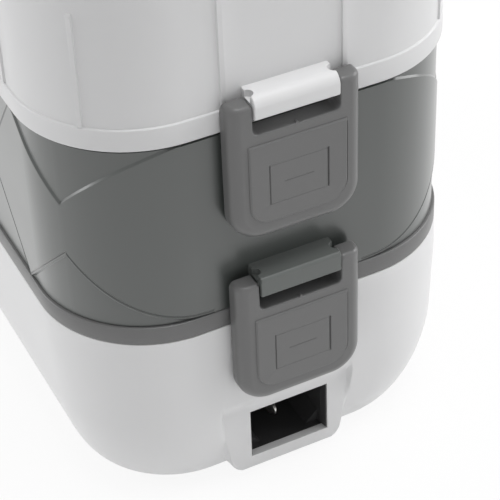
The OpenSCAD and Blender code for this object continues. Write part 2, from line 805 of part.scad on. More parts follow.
// Three-cornered fields on the long sides, and the steep edge of the corner field
module side_fields() {
    mid = z_seam1 + tier_h / 2;
    for (i = [-1, 0, 1], s = [-1, 1])
        translate([i * cross_pitch, body_w, mid]) rotate([90, 0, 0]) linear_extrude(2 * body_w)
            polygon([[0, s * waist], [cross_pitch / 2 - 0.6, s * (field_z + 1)],
                [-cross_pitch / 2 + 0.6, s * (field_z + 1)]]);
}

// The corner field seen from the side, and the same field seen from the end
corner_y = body_w / 2 - corner_r;
corner_x = side_half;
arc_r = corner_r - tier_step;
arc_l = arc_r * PI / 2;
s_start = corner_y - 5;
s_apex = corner_y + arc_l * 0.71;
s_top = corner_y + arc_l + 6.5;
function belt_edge(s) = s < s_apex
    ? field_z - 0.5 - (field_z - apex_z - 0.5) * pow((s - s_start) / (s_apex - s_start), 2)
    : apex_z + (field_z + 0.6 - apex_z) * (s - s_apex) / (s_top - s_apex);
function along_y(s) = s < corner_y ? s : corner_y + arc_r * sin((s - corner_y) / arc_r * 180 / PI);
function along_x(s) = s > corner_y + arc_l ? corner_x - (s - corner_y - arc_l)
    : corner_x + arc_r * cos((s - corner_y) / arc_r * 180 / PI);
s_split = corner_y + arc_l / 2;
FIELD_STEPS = 6;

module end_fields() {
    mid = z_seam1 + tier_h / 2;
    low = [for (i = [0 : FIELD_STEPS]) let (s = s_start + (s_split - s_start) * i / FIELD_STEPS)
        [along_y(s), belt_edge(s)]];
    for (s = [-1, 1], t = [-1, 1], e = [0, 1])
        mirror([e, 0, 0]) translate([body_l / 2 - corner_r, 0, mid]) rotate([90, 0, 90])
            linear_extrude(corner_r + 2) scale([s, t])
                polygon(concat(low, [[along_y(s_split), field_z + 1], [along_y(s_start), field_z + 1]]));
}

module corner_fields() {
    mid = z_seam1 + tier_h / 2;
    knots = concat([for (i = [0 : 2]) s_split + (s_apex - s_split) * i / 2], [s_top]);
    low = [for (s = knots) [along_x(s), belt_edge(s)]];
    for (s = [-1, 1], t = [-1, 1], e = [-1, 1])
        translate([0, e > 0 ? body_w / 2 + 2 : -corner_y, mid]) rotate([90, 0, 0])
            linear_extrude(corner_r + 2) scale([s, t])
                polygon(concat(low, [[along_x(s_top), field_z + 1], [along_x(s_split), field_z + 1]]));
}

module tier_shell() {
    color(TIER_GREY) {
        difference() {
            ring(tier_step, tier_inner, z_seam1, tier_h);
            intersection() {
                relief_skin();
                union() {
                    side_fields();
                    end_fields();
                    corner_fields();
                }
            }
        }
        ring(tier_inner - EPS, ledge_inner, z_tier_ledge, ledge_t);
        ring(tier_inner - EPS, ledge_inner, z_liner_flange - ledge_t, ledge_t);
        at_ends(lower_latch_x) translate([0, 0, z_lower_cut]) hinge_block(tier_step + lower_latch_out);
        at_ends(upper_latch_x) translate([0, 0, z_upper_cut]) catch_ledge(tier_step);
    }
}

module tier_liner() {
    color(STEEL) {
        pan(tray_inset, z_liner_floor, z_liner_flange + pan_t, pan_t);
        ring(tier_inner + fit_gap, tray_inset + pan_t, z_liner_flange, pan_t);
    }
}

module tier_seal() {
    color(SILICONE) ring(seal_inset, ledge_inner - fit_gap, z_flange + pan_t + gap,
        z_tier_ledge - z_flange - pan_t - gap);
}

// ---- Lid ----

LID_STEPS = 5;
module lid_slice(z, h, inset) {
    translate([0, 0, z]) linear_extrude(h)
        rounded_rect(body_l - 2 * inset, body_w - 2 * inset, max(corner_r - inset, 4), HULL_FN);
}

// The lid's outside, or with d its inside
module lid_dome(d) {
    z_shoulder = z_top - lid_round;
    hull() {
        lid_slice(z_seam2, z_shoulder - z_seam2, lid_step + d);
        for (i = [1 : LID_STEPS]) {
            a = 90 * i / LID_STEPS;
            lid_slice(z_shoulder + (lid_round - d) * sin(a) - EPS, EPS,
                lid_step + d + (lid_round - d) * (1 - cos(a)));
        }
    }
}

// The upright ribs stand out from the lid's wall, and are spaced round the outline
rib_end_y = 16.9;
rib_corner = 45;
rib_side_x = side_half - 4.5;
RIB_SIDES = 5;
module lid_ribs() {
    rib_top = z_top - lid_round - skirt_h;
    difference() {
        intersection() {
            ring(lid_step - min(rib_up, lid_step), lid_step + 0.5, z_seam2, rib_top);
            union() {
                for (s = [-1, 1]) {
                    translate([-body_l, s * rib_end_y - rib_w / 2, z_seam2])
                        cube([2 * body_l, rib_w, rib_top - z_seam2]);
                    for (e = [-1, 1]) translate([e * side_half, s * corner_y, z_seam2])
                        rotate([0, 0, s * e * rib_corner + (e < 0 ? 180 : 0)])
                            translate([0, -rib_w / 2, 0]) cube([body_w, rib_w, rib_top - z_seam2]);
                }
                for (i = [0 : RIB_SIDES]) {
                    x = rib_side_x * (2 * i / RIB_SIDES - 1);
                    translate([x - rib_w / 2, -body_w, z_seam2])
                        cube([rib_w, 2 * body_w, rib_top - z_seam2]);
                }
            }
        }
        plate(lid_step + 0.4, z_seam2 - 1, lid_h);
    }
}

module pocket_shape(d) {
    translate([-pocket_hl - d, -pocket_back - d]) square([2 * (pocket_hl + d), pocket_back + pocket_front + 2 * d]);
}

module lid_shell() {
    boss_l = 8;
    color(WHITE) difference() {
        union() {
            difference() {
                union() {
                    lid_dome(0);
                    plate(0, z_seam2, skirt_h);
                }
                lid_dome(wall);
                plate(lid_step + wall, z_seam2 - 1, 3);
            }
            lid_ribs();
            ring(lid_step + wall - EPS, ledge_inner, z_seam2, ledge_t);
            ring(lip_inset, lip_inner, z_seam2 - liner_flange_drop + ledge_gap,
                liner_flange_drop - ledge_gap + EPS);
            at_ends(upper_latch_x) translate([0, 0, z_upper_cut]) hinge_block(lid_step);
            // walls and floor of the handle pocket
            intersection() {
                lid_dome(0);
                translate([0, 0, z_pocket - wall]) linear_extrude(pocket_d + wall) pocket_shape(wall);
            }
            for (s = [-1, 1]) translate([s * pocket_hl, 0, handle_axis_z]) rotate([0, s * 90, 0])
                cylinder(r = handle_pin_r + 2.2, h = boss_l);
        }
        translate([0, 0, z_pocket]) linear_extrude(pocket_d + 1) pocket_shape(0);
        for (s = [-1, 1]) translate([s * (pocket_hl - 1), 0, handle_axis_z]) rotate([0, s * 90, 0])
            cylinder(r = handle_pin_r + 0.02, h = boss_l);
        translate([vent_x, 0, z_top - vent_recess]) cylinder(r = vent_r + gap, h = 5);
        translate([vent_x, 0, z_top - 2 * wall]) cylinder(r = vent_hole_r, h = 10);
    }
}

module lid_liner() {
    color(STEEL) {
        difference() {
            plate(tray_inset, z_lid_flange, z_lid_liner - z_lid_flange);
            plate(tray_inset + pan_t, z_lid_flange - 1, z_lid_liner - z_lid_flange + 1 - pan_t);
        }
        ring(lid_step + wall + 0.4, tray_inset + pan_t, z_lid_flange, pan_t);
    }
}

module lid_seal() {
    z_low = z_liner_flange + pan_t + gap;
    color(SILICONE) ring(seal_inset, ledge_inner - fit_gap, z_low, z_seam2 - z_low);
}

module handle_pins() {
    color(STEEL) for (s = [-1, 1])
        translate([s * (pocket_hl + 6.5 - handle_pin_l), 0, handle_axis_z]) rotate([0, s * 90, 0])
            cylinder(r = handle_pin_r, h = handle_pin_l);
}

module handle() {
    hl = handle_l / 2;
    z_low = handle_axis_z - handle_t / 2;
    color(GREY) difference() {
        union() {
            for (s = [-1, 1]) {
                translate([s * (hl - arm_w / 2) - arm_w / 2, 0, z_low])
                    cube([arm_w, handle_reach - grip_w / 2, handle_t]);
                translate([s * (hl - arm_w / 2) - arm_w / 2, 0, handle_axis_z]) rotate([0, 90, 0])
                    cylinder(r = handle_t / 2, h = arm_w);
            }
            translate([0, handle_reach - grip_w / 2, z_low]) linear_extrude(handle_t)
                rounded_rect(handle_l, grip_w, 5);
        }
        for (s = [-1, 1]) translate([s * (hl - arm_w - 1), 0, handle_axis_z]) rotate([0, s * 90, 0])
            cylinder(r = handle_pin_r + running_gap, h = arm_w + 2);
    }
}

module vent_plug() {
    color(GREY) translate([vent_x, 0, 0]) {
        translate([0, 0, z_top - vent_recess + 0.2]) cylinder(r = vent_r, h = vent_recess - 0.2);
        translate([0, 0, z_top - 2 * wall]) cylinder(r = vent_stem_r, h = 2 * wall - vent_recess + 0.3);
    }
}

// ---- Latches ----

module upper_latch_inlet_end() { color(GREY) upper_place() latch(); }
module upper_latch_far_end() { color(GREY) mirror([1, 0, 0]) upper_place() latch(); }
module lower_latch_inlet_end() { color(GREY) lower_place() latch(); }
module lower_latch_far_end() { color(GREY) mirror([1, 0, 0]) lower_place() latch(); }
module upper_pin_inlet_end() { color(STEEL) upper_place() latch_pin(); }
module upper_pin_far_end() { color(STEEL) mirror([1, 0, 0]) upper_place() latch_pin(); }
module lower_pin_inlet_end() { color(STEEL) lower_place() latch_pin(); }
module lower_pin_far_end() { color(STEEL) mirror([1, 0, 0]) lower_place() latch_pin(); }

base_shell();
base_ring();
heating_tray();
tray_gasket();
heat_spreader();
ptc_element();
heater_clamp();
clamp_screws();
thermostat();
thermal_fuse();
inlet_socket();
inlet_pins();
inlet_retainer();
retainer_screw();
live_wire();
neutral_wire();
link_wire();
earth_wire();
earth_nut();
indicator_lens();
indicator_lamp();
rubber_feet();
base_screws();
lower_container();
lower_cover();
lower_cover_seal();
tier_shell();
tier_liner();
tier_seal();
upper_container();
upper_cover();
upper_cover_seal();
lid_shell();
lid_liner();
lid_seal();
handle_pins();
handle();
vent_plug();
upper_latch_inlet_end();
upper_latch_far_end();
lower_latch_inlet_end();
lower_latch_far_end();
upper_pin_inlet_end();
upper_pin_far_end();
lower_pin_inlet_end();
lower_pin_far_end();
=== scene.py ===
"""An electric lunch box: a white heated base, a patterned grey tier and a white lid, clipped by latches.

Lengths are written in millimetres and turned into metres where a mesh is made. X runs along the box with
the power inlet at +X, Y runs across it and Z is up, as in the frame.
"""

import logging
from dataclasses import dataclass, field
from enum import Enum
from math import cos, hypot, pi, radians, sin
from typing import Callable, Iterable, Sequence

import bmesh
import bpy
from mathutils import Matrix, Vector


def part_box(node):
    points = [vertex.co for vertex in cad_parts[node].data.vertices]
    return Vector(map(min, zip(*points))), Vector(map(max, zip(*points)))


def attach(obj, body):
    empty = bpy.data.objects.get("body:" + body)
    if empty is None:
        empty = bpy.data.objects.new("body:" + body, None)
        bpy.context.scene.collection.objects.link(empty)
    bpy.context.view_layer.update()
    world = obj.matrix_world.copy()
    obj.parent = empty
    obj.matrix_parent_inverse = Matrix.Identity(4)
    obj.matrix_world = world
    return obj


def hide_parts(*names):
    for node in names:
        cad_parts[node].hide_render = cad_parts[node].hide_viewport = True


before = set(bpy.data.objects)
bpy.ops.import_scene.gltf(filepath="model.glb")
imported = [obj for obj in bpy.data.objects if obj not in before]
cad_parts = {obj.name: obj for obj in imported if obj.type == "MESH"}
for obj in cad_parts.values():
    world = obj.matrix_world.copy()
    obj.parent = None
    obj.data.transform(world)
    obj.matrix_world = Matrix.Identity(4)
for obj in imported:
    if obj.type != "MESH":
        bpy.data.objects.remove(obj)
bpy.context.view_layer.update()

log = logging.getLogger("lunch_box")
logging.basicConfig(level=logging.INFO, format="%(name)s: %(message)s")

MM = 0.001
WELD = 0.004  # points closer than this many millimetres are joined
SLIVER = 0.002  # and edges shorter than this are dissolved
SHARP = 32.0  # edges that turn by more than this many degrees stay sharp
Flat = tuple[float, float]
Point = tuple[float, float, float]


# ---------------------------------------------------------------- shader graphs


class Value:
    """A number, colour, vector or shader that a node gives: a socket with arithmetic."""

    def __init__(self, graph: "Graph", socket: bpy.types.NodeSocket) -> None:
        """Wrap one socket of a graph."""
        self.graph = graph
        self.socket = socket

    def _math(self, operation: str, first: "Value | float", second: "Value | float") -> "Value":
        """Add one Math node that combines two values."""
        return self.graph.node("ShaderNodeMath", {"operation": operation}, {0: first, 1: second})

    def __add__(self, other: "Value | float") -> "Value":
        """This value plus another."""
        return self._math("ADD", self, other)

    __radd__ = __add__

    def __sub__(self, other: "Value | float") -> "Value":
        """This value less another."""
        return self._math("SUBTRACT", self, other)

    def __rsub__(self, other: float) -> "Value":
        """A number less this value."""
        return self._math("SUBTRACT", other, self)

    def __mul__(self, other: "Value | float") -> "Value":
        """This value times another."""
        return self._math("MULTIPLY", self, other)

    __rmul__ = __mul__

    def ramp(self, low: float, high: float) -> "Value":
        """This value as a smooth step from 0 at low to 1 at high."""
        settings = {"interpolation_type": "SMOOTHSTEP"}
        return self.graph.node("ShaderNodeMapRange", settings, {0: self, 1: low, 2: high})


class Graph:
    """The nodes of one material or of the world."""

    def __init__(self, owner: bpy.types.Material | bpy.types.World, shader: str, output: str) -> None:
        """Take over the nodes that a new material or world starts with.

        Args:
            owner: the material or world.
            shader: the name of its first shader node.
            output: the name of its output node.
        """
        owner.use_nodes = True
        self.owner = owner
        self.tree = owner.node_tree
        self.shader = self.tree.nodes[shader]
        self.output = self.tree.nodes[output]

    @classmethod
    def of_material(cls, name: str) -> "Graph":
        """The graph of a new material."""
        return cls(bpy.data.materials.new(name), "Principled BSDF", "Material Output")

    @classmethod
    def of_world(cls, name: str) -> "Graph":
        """The graph of a new world."""
        return cls(bpy.data.worlds.new(name), "Background", "World Output")

    def node(self, kind: str, settings: dict, inputs: dict, output: int | str = 0) -> Value:
        """Add a node and return one of its outputs.

        Args:
            kind: the node's type name.
            settings: attributes that are set before the sockets.
            inputs: sockets by index or name, each a Value, a number or a tuple.
            output: the output socket to return, by index or name.

        Returns:
            The output as a Value.
        """
        new = self.tree.nodes.new(kind)
        for key, setting in settings.items():
            setattr(new, key, setting)
        for key, given in inputs.items():
            if isinstance(given, Value):
                self.tree.links.new(given.socket, new.inputs[key])
            else:
                new.inputs[key].default_value = given
        return Value(self, new.outputs[output])

    def place(self) -> Value:
        """The point on the piece, in metres in the frame."""
        return self.node("ShaderNodeTexCoord", {}, {}, "Object")

    def stretched(self, stretch: Point) -> Value:
        """The point on the piece, scaled along each axis."""
        settings = {"operation": "MULTIPLY"}
        return self.node("ShaderNodeVectorMath", settings, {0: self.place(), 1: stretch})

    def noise(self, scale: float, detail: float, where: Value | None = None) -> Value:
        """Smooth noise from 0 to 1.

        Args:
            scale: features per metre.
            detail: number of finer layers.
            where: the coordinates, or None for the point on the piece.

        Returns:
            The noise.
        """
        inputs = {"Vector": where or self.place(), "Scale": scale, "Detail": detail}
        return self.node("ShaderNodeTexNoise", {}, inputs)

    def tint(self, amount: Value, first: Point, second: Point) -> Value:
        """A colour between two, by a value from 0 to 1."""
        settings = {"data_type": "RGBA"}
        return self.node("ShaderNodeMix", settings, {0: amount, 6: (*first, 1), 7: (*second, 1)}, 2)

    def feed(self, name: str, value: Value | float | tuple) -> None:
        """Give one of the first shader's sockets a value.

        Args:
            name: the socket's name.
            value: a Value to link, or a number or colour to set.
        """
        socket = self.shader.inputs[name]
        if isinstance(value, Value):
            self.tree.links.new(value.socket, socket)
        else:
            socket.default_value = value

    def bump(self, height: Value, strength: float, distance: float) -> None:
        """Raise the surface's normals by a height map.

        Args:
            height: the map, from 0 to 1.
            strength: how much of it shows.
            distance: the height of 1, in millimetres.
        """
        inputs = {"Strength": strength, "Distance": distance * MM, "Height": height}
        self.feed("Normal", self.node("ShaderNodeBump", {}, inputs, "Normal"))

    def ray(self, kind: str) -> Value:
        """1 for rays of one kind, Camera, Glossy or Transmission, and 0 for the others."""
        return self.node("ShaderNodeLightPath", {}, {}, f"Is {kind} Ray")

    def show(self, backdrop: Value, share: float) -> None:
        """Show a plain backdrop to the camera, in gloss and through clear plastic, over the first shader.

        Args:
            backdrop: the shader that is seen.
            share: how much of it is seen.
        """
        seen = share * (self.ray("Camera") + self.ray("Glossy") + self.ray("Transmission"))
        own = Value(self, self.shader.outputs[0])
        mixed = self.node("ShaderNodeMixShader", {}, {0: seen, 1: own, 2: backdrop})
        self.tree.links.new(mixed.socket, self.output.inputs["Surface"])


# ---------------------------------------------------------------- finishes


def darker(colour: Point, share: float) -> Point:
    """A colour multiplied by a share."""
    return tuple(part * share for part in colour)


@dataclass(frozen=True)
class MouldedPlastic:
    """Injection-moulded plastic with a fine satin texture.

    Attributes:
        name: the material's name.
        colour: linear colour.
        roughness: mean roughness.
        variation: how much the colour wanders.
        grain: height of the moulded texture, in millimetres.
        coat: weight of a clear second gloss.
        coat_roughness: roughness of that gloss.
        cloud: scale of the colour's clouds.
        sheen: scale of the clouds in the roughness.
        sheen_range: how far the roughness wanders.
        fine: scale of the texture's fine layer.
        coarse: scale of its coarse layer.
        coarse_share: weight of the coarse layer.
        grain_strength: how much of the texture shows.
    """

    name: str
    colour: Point
    roughness: float = 0.4
    variation: float = 0.03
    grain: float = 0.006
    coat: float = 0.0
    coat_roughness: float = 0.3
    cloud: float = 22
    sheen: float = 60
    sheen_range: float = 0.08
    fine: float = 2600
    coarse: float = 900
    coarse_share: float = 0.6
    grain_strength: float = 0.35

    def material(self) -> bpy.types.Material:
        """Build the material.

        Returns:
            The new material.
        """
        graph = Graph.of_material(self.name)
        shade = darker(self.colour, 1 - self.variation)
        graph.feed("Base Color", graph.tint(graph.noise(self.cloud, 3), shade, self.colour))
        graph.feed("Roughness", self.roughness + self.sheen_range * (graph.noise(self.sheen, 2) - 0.5))
        texture = graph.noise(self.fine, 2) + self.coarse_share * graph.noise(self.coarse, 1)
        graph.bump(texture, self.grain_strength, self.grain)
        graph.feed("Coat Weight", self.coat)
        graph.feed("Coat Roughness", self.coat_roughness)
        return graph.owner


@dataclass(frozen=True)
class BrushedMetal:
    """Pressed sheet or turned metal with a brushed grain along one axis.

    Attributes:
        name: the material's name.
        colour: linear colour.
        roughness: mean roughness.
        stretch: how fine the grain is along each axis; the brushed axis has the least.
        shade: the darkest lines' share of the colour.
        sheen_range: how far the roughness wanders.
        lines: scale of the brushed lines, before they are stretched.
        grain: height of the brushed lines, in millimetres.
        grain_strength: how much of them shows.
    """

    name: str
    colour: Point
    roughness: float = 0.3
    stretch: Point = (30, 900, 900)
    shade: float = 0.86
    sheen_range: float = 0.16
    lines: float = 1.6
    grain: float = 0.01
    grain_strength: float = 0.2

    def material(self) -> bpy.types.Material:
        """Build the material.

        Returns:
            The new material.
        """
        graph = Graph.of_material(self.name)
        lines = graph.noise(self.lines, 4, graph.stretched(self.stretch))
        graph.feed("Base Color", graph.tint(lines, darker(self.colour, self.shade), self.colour))
        graph.feed("Metallic", 1.0)
        graph.feed("Roughness", self.roughness + self.sheen_range * (lines - 0.5))
        graph.bump(lines, self.grain_strength, self.grain)
        return graph.owner


@dataclass(frozen=True)
class SoftRubber:
    """Silicone or rubber with a dusty matt skin.

    Attributes:
        name: the material's name.
        colour: linear colour.
        roughness: roughness where there is no dust.
        dust_roughness: what the dust adds.
        dust: scale of the dust's clouds.
        dust_ramp: where the dust starts and where it is full, from 0 to 1.
        shade: the dust's share of the colour.
        fine: scale of the moulded texture.
        grain: height of the moulded texture, in millimetres.
        grain_strength: how much of the texture shows.
    """

    name: str
    colour: Point
    roughness: float = 0.62
    dust_roughness: float = 0.12
    dust: float = 180
    dust_ramp: Flat = (0.4, 0.8)
    shade: float = 0.9
    fine: float = 1500
    grain: float = 0.01
    grain_strength: float = 0.4

    def material(self) -> bpy.types.Material:
        """Build the material.

        Returns:
            The new material.
        """
        graph = Graph.of_material(self.name)
        dust = graph.noise(self.dust, 4).ramp(*self.dust_ramp)
        graph.feed("Base Color", graph.tint(dust, self.colour, darker(self.colour, self.shade)))
        graph.feed("Roughness", self.roughness + self.dust_roughness * dust)
        graph.bump(graph.noise(self.fine, 2), self.grain_strength, self.grain)
        return graph.owner


@dataclass(frozen=True)
class ClearPlastic:
    """Frosted, milky plastic of the food boxes' covers.

    Attributes:
        name: the material's name.
        colour: linear colour.
        clarity: how much light passes through.
        roughness: least roughness.
        roughness_range: what the clouds add to it.
        cloud: scale of the clouds.
        shade: the clouds' share of the colour.
        fine: scale of the moulded texture.
        grain: height of the moulded texture, in millimetres.
        grain_strength: how much of the texture shows.
    """

    name: str
    colour: Point
    clarity: float = 0.35
    roughness: float = 0.3
    roughness_range: float = 0.15
    cloud: float = 40
    shade: float = 0.94
    fine: float = 1200
    grain: float = 0.01
    grain_strength: float = 0.3

    def material(self) -> bpy.types.Material:
        """Build the material.

        Returns:
            The new material.
        """
        graph = Graph.of_material(self.name)
        cloud = graph.noise(self.cloud, 3)
        graph.feed("Base Color", graph.tint(cloud, self.colour, darker(self.colour, self.shade)))
        graph.feed("Roughness", self.roughness + self.roughness_range * cloud)
        graph.feed("Transmission Weight", self.clarity)
        graph.bump(graph.noise(self.fine, 2), self.grain_strength, self.grain)
        return graph.owner


@dataclass(frozen=True)
class WovenSleeve:
    """Woven sleeving and wrap of the small electric pieces.

    Attributes:
        name: the material's name.
        colour: linear colour.
        pitch: threads per metre.
        shade: the threads' share of the colour.
        roughness: least roughness.
        roughness_range: what the threads add to it.
        thread: height of the threads, in millimetres.
        thread_strength: how much of them shows.
    """

    name: str
    colour: Point
    pitch: float = 900.0
    shade: float = 0.75
    roughness: float = 0.6
    roughness_range: float = 0.1
    thread: float = 0.03
    thread_strength: float = 0.3

    def material(self) -> bpy.types.Material:
        """Build the material.

        Returns:
            The new material.
        """
        graph = Graph.of_material(self.name)
        settings = {"wave_type": "BANDS", "bands_direction": "DIAGONAL"}
        weave = graph.node("ShaderNodeTexWave", settings, {"Vector": graph.place(), "Scale": self.pitch})
        graph.feed("Base Color", graph.tint(weave, self.colour, darker(self.colour, self.shade)))
        graph.feed("Roughness", self.roughness + self.roughness_range * weave)
        graph.bump(weave, self.thread_strength, self.thread)
        return graph.owner


class Finish(Enum):
    """The finishes of the lunch box; each value builds one material."""

    WHITE = MouldedPlastic("white_satin", (0.70, 0.70, 0.705), 0.33, 0.015, 0.003)
    LID = MouldedPlastic("lid_white", (0.67, 0.67, 0.675), 0.33, 0.015, 0.003)
    # the tier's grey made about twice as light for the lower hinge blocks: painted light that lifts their
    # shaded tops
    BLOCK_PAINTED_LIGHT = MouldedPlastic("tier_grey_painted_light", (0.120, 0.129, 0.124), 0.34, 0.03, 0.003)
    TIER = MouldedPlastic("tier_grey", (0.064, 0.071, 0.067), 0.3, 0.03, 0.003, 1.0)
    GREY = MouldedPlastic("latch_grey", (0.145, 0.145, 0.145), 0.34, 0.04, 0.004)
    BLACK = MouldedPlastic("inlet_black", (0.042, 0.042, 0.043), 0.36, 0.1, 0.006)
    STEEL = BrushedMetal("brushed_steel", (0.60, 0.60, 0.61))
    ALUMINIUM = BrushedMetal("milled_aluminium", (0.72, 0.72, 0.73), 0.35, (900, 40, 900))
    BRASS = BrushedMetal("plated_pins", (0.90, 0.89, 0.86), 0.36, (20, 700, 700))
    SILICONE = SoftRubber("seal_silicone", (0.62, 0.62, 0.60))
    RUBBER = SoftRubber("foot_rubber", (0.02, 0.02, 0.02), 0.7)
    COVER = ClearPlastic("cover_plastic", (0.74, 0.76, 0.77))
    SLEEVE = WovenSleeve("glass_sleeve", (0.62, 0.62, 0.58))
    FILM = WovenSleeve("film_wrap", (0.6, 0.33, 0.12))
    BROWN = MouldedPlastic("brown_lead", (0.12, 0.05, 0.02), 0.4)
    BLUE = MouldedPlastic("blue_lead", (0.03, 0.09, 0.35), 0.4)
    GREEN = MouldedPlastic("green_lead", (0.15, 0.35, 0.05), 0.4)
    LENS = MouldedPlastic("lamp_lens", (0.55, 0.06, 0.03), 0.12, 0.02, 0.001)

    def material(self) -> bpy.types.Material:
        """The finish's material, made the first time that it is asked for."""
        return bpy.data.materials.get(self.value.name) or self.value.material()


class Slot(Enum):
    """The record's material slots; they are listed, but no dressed piece is given one."""

    WHITE = "white_plastic"
    GREY = "grey_plastic"
    TIER = "tier_plastic"
    BRASS = "brass"


class Axis(Enum):
    """The axes that a turned piece can stand along."""

    X = (1, 0, 0)
    Y = (0, 1, 0)
    Z = (0, 0, 1)


class Carving(Enum):
    """What a cutter does to a piece."""

    CUT = "DIFFERENCE"
    JOIN = "UNION"


# ---------------------------------------------------------------- meshes


def add_object(name: str, data: bpy.types.ID) -> bpy.types.Object:
    """Put a new object into the scene.

    Args:
        name: the object's name.
        data: its mesh, camera or lamp.

    Returns:
        The object.
    """
    added = bpy.data.objects.new(name, data)
    bpy.context.scene.collection.objects.link(added)
    return added


def add_mesh(name: str, points: Iterable[Point], faces: Iterable[Sequence[int]], finish: Finish,
             sharp: float = SHARP) -> bpy.types.Object:
    """Make an object from points in millimetres.

    Args:
        name: the piece's name.
        points: its points, in millimetres in the frame.
        faces: lists of point numbers.
        finish: its finish.
        sharp: edges that turn by more than this many degrees stay sharp.

    Returns:
        The new object.
    """
    mesh = bpy.data.meshes.new(name)
    mesh.from_pydata([tuple(c * MM for c in p) for p in points], [], [tuple(f) for f in faces])
    work = bmesh.new()
    work.from_mesh(mesh)
    bmesh.ops.remove_doubles(work, verts=work.verts, dist=WELD * MM)
    bmesh.ops.dissolve_degenerate(work, edges=work.edges, dist=SLIVER * MM)
    bmesh.ops.recalc_face_normals(work, faces=work.faces)
    work.to_mesh(mesh)
    work.free()
    piece = add_object(name, mesh)
    smooth(piece, sharp)
    mesh.materials.append(finish.material())
    return piece


def ring_faces(rings: int, count: int, start: int = 0, closed: bool = False) -> list[list[int]]:
    """Faces between rings of points that follow one another.

    Args:
        rings: number of rings.
        count: number of points in each ring.
        start: number of the first point.
        closed: True joins the last ring to the first, and False closes both ends with a flat face.

    Returns:
        Lists of point numbers; where both ends are closed, theirs are the last two.
    """
    faces = []
    for i in range(rings if closed else rings - 1):
        low, high = start + i * count, start + (i + 1) % rings * count
        for k in range(count):
            follow = (k + 1) % count
            faces.append([low + k, low + follow, high + follow, high + k])
    if not closed:
        last = start + (rings - 1) * count
        faces += [list(range(start, start + count))[::-1], list(range(last, last + count))]
    return faces


def smooth(piece: bpy.types.Object, sharp: float) -> None:
    """Shade a piece smoothly.

    Args:
        piece: the piece.
        sharp: edges that turn by more than this many degrees stay sharp.
    """
    mesh = piece.data
    mesh.polygons.foreach_set("use_smooth", [True] * len(mesh.polygons))
    mesh.set_sharp_from_angle(angle=radians(sharp))
    mesh.update()


def apply_modifiers(piece: bpy.types.Object) -> None:
    """Turn a piece's modifiers into its mesh.

    Args:
        piece: the piece, which keeps its name and its mesh's name.
    """
    graph = bpy.context.evaluated_depsgraph_get()
    baked = bpy.data.meshes.new_from_object(piece.evaluated_get(graph))
    piece.modifiers.clear()
    old = piece.data
    piece.data = baked
    baked.name = old.name
    bpy.data.meshes.remove(old)


def carve(piece: bpy.types.Object, cutters: Sequence[bpy.types.Object],
          carving: Carving = Carving.CUT) -> None:
    """Cut solids out of a piece, or join them to it, and delete them.

    Args:
        piece: the piece that changes.
        cutters: the solids that are used up.
        carving: whether they are cut out or joined.
    """
    for cutter in cutters:
        step = piece.modifiers.new("cut", "BOOLEAN")
        step.operation = carving.value
        step.solver = "EXACT"
        step.object = cutter
        bpy.context.view_layer.update()
        apply_modifiers(piece)
        bpy.data.objects.remove(cutter)


def bevel(piece: bpy.types.Object, width: float, angle: float = 40.0, segments: int = 3) -> None:
    """Round a piece's sharp edges with a modifier.

    Args:
        piece: the piece.
        width: the rounding's width, in millimetres.
        angle: edges that turn by less than this many degrees are left.
        segments: number of faces across the rounding.
    """
    step = piece.modifiers.new("edge", "BEVEL")
    step.width = width * MM
    step.segments = segments
    step.limit_method = "ANGLE"
    step.angle_limit = radians(angle)
    step.use_clamp_overlap = True


def keep_flat(piece: bpy.types.Object) -> None:
    """Shade a piece by its large faces, so that its flats stay flat beside small rounded edges.

    Args:
        piece: the piece.
    """
    flats = piece.modifiers.new("flats", "WEIGHTED_NORMAL")
    flats.keep_sharp = True
    apply_modifiers(piece)


def sharpen(piece: bpy.types.Object, width: float, angle: float) -> None:
    """Break a piece's sharp edges by a small width and keep its flats flat.

    Args:
        piece: the piece.
        width: the width, in millimetres.
        angle: edges that turn by less than this many degrees are left.
    """
    smooth(piece, 75)
    bevel(piece, width, angle, 2)
    keep_flat(piece)


def remould(piece: bpy.types.Object, voxel: float, keep: float, rounds: int) -> None:
    """Melt a piece's edges round, as a mould does, and thin its mesh.

    Args:
        piece: the piece, a closed solid.
        voxel: size of the grid, in millimetres.
        keep: share of the faces that stays.
        rounds: times that the surface is smoothed.
    """
    step = piece.modifiers.new("melt", "REMESH")
    step.mode = "VOXEL"
    step.voxel_size = voxel * MM
    relax = piece.modifiers.new("relax", "SMOOTH")
    relax.factor = 0.5
    relax.iterations = rounds
    thin = piece.modifiers.new("thin", "DECIMATE")
    thin.ratio = keep
    apply_modifiers(piece)
    smooth(piece, 60)


def solid_box(name: str, low: Point, high: Point, edge: float, finish: Finish,
              segments: int = 3) -> bpy.types.Object:
    """A box with rounded edges.

    Args:
        name: the piece's name.
        low: its lower corner, in millimetres.
        high: its upper corner, in millimetres.
        edge: the edges' rounding, in millimetres, or 0 for sharp edges.
        finish: its finish.
        segments: number of faces across the rounding.

    Returns:
        The new object.
    """
    corners = [(x, y, z) for x in (low[0], high[0]) for y in (low[1], high[1]) for z in (low[2], high[2])]
    faces = [(0, 1, 3, 2), (4, 6, 7, 5), (0, 4, 5, 1), (2, 3, 7, 6), (0, 2, 6, 4), (1, 5, 7, 3)]
    piece = add_mesh(name, corners, faces, finish)
    if edge > 0:
        bevel(piece, edge, segments=segments)
        apply_modifiers(piece)
        smooth(piece, SHARP)
    return piece


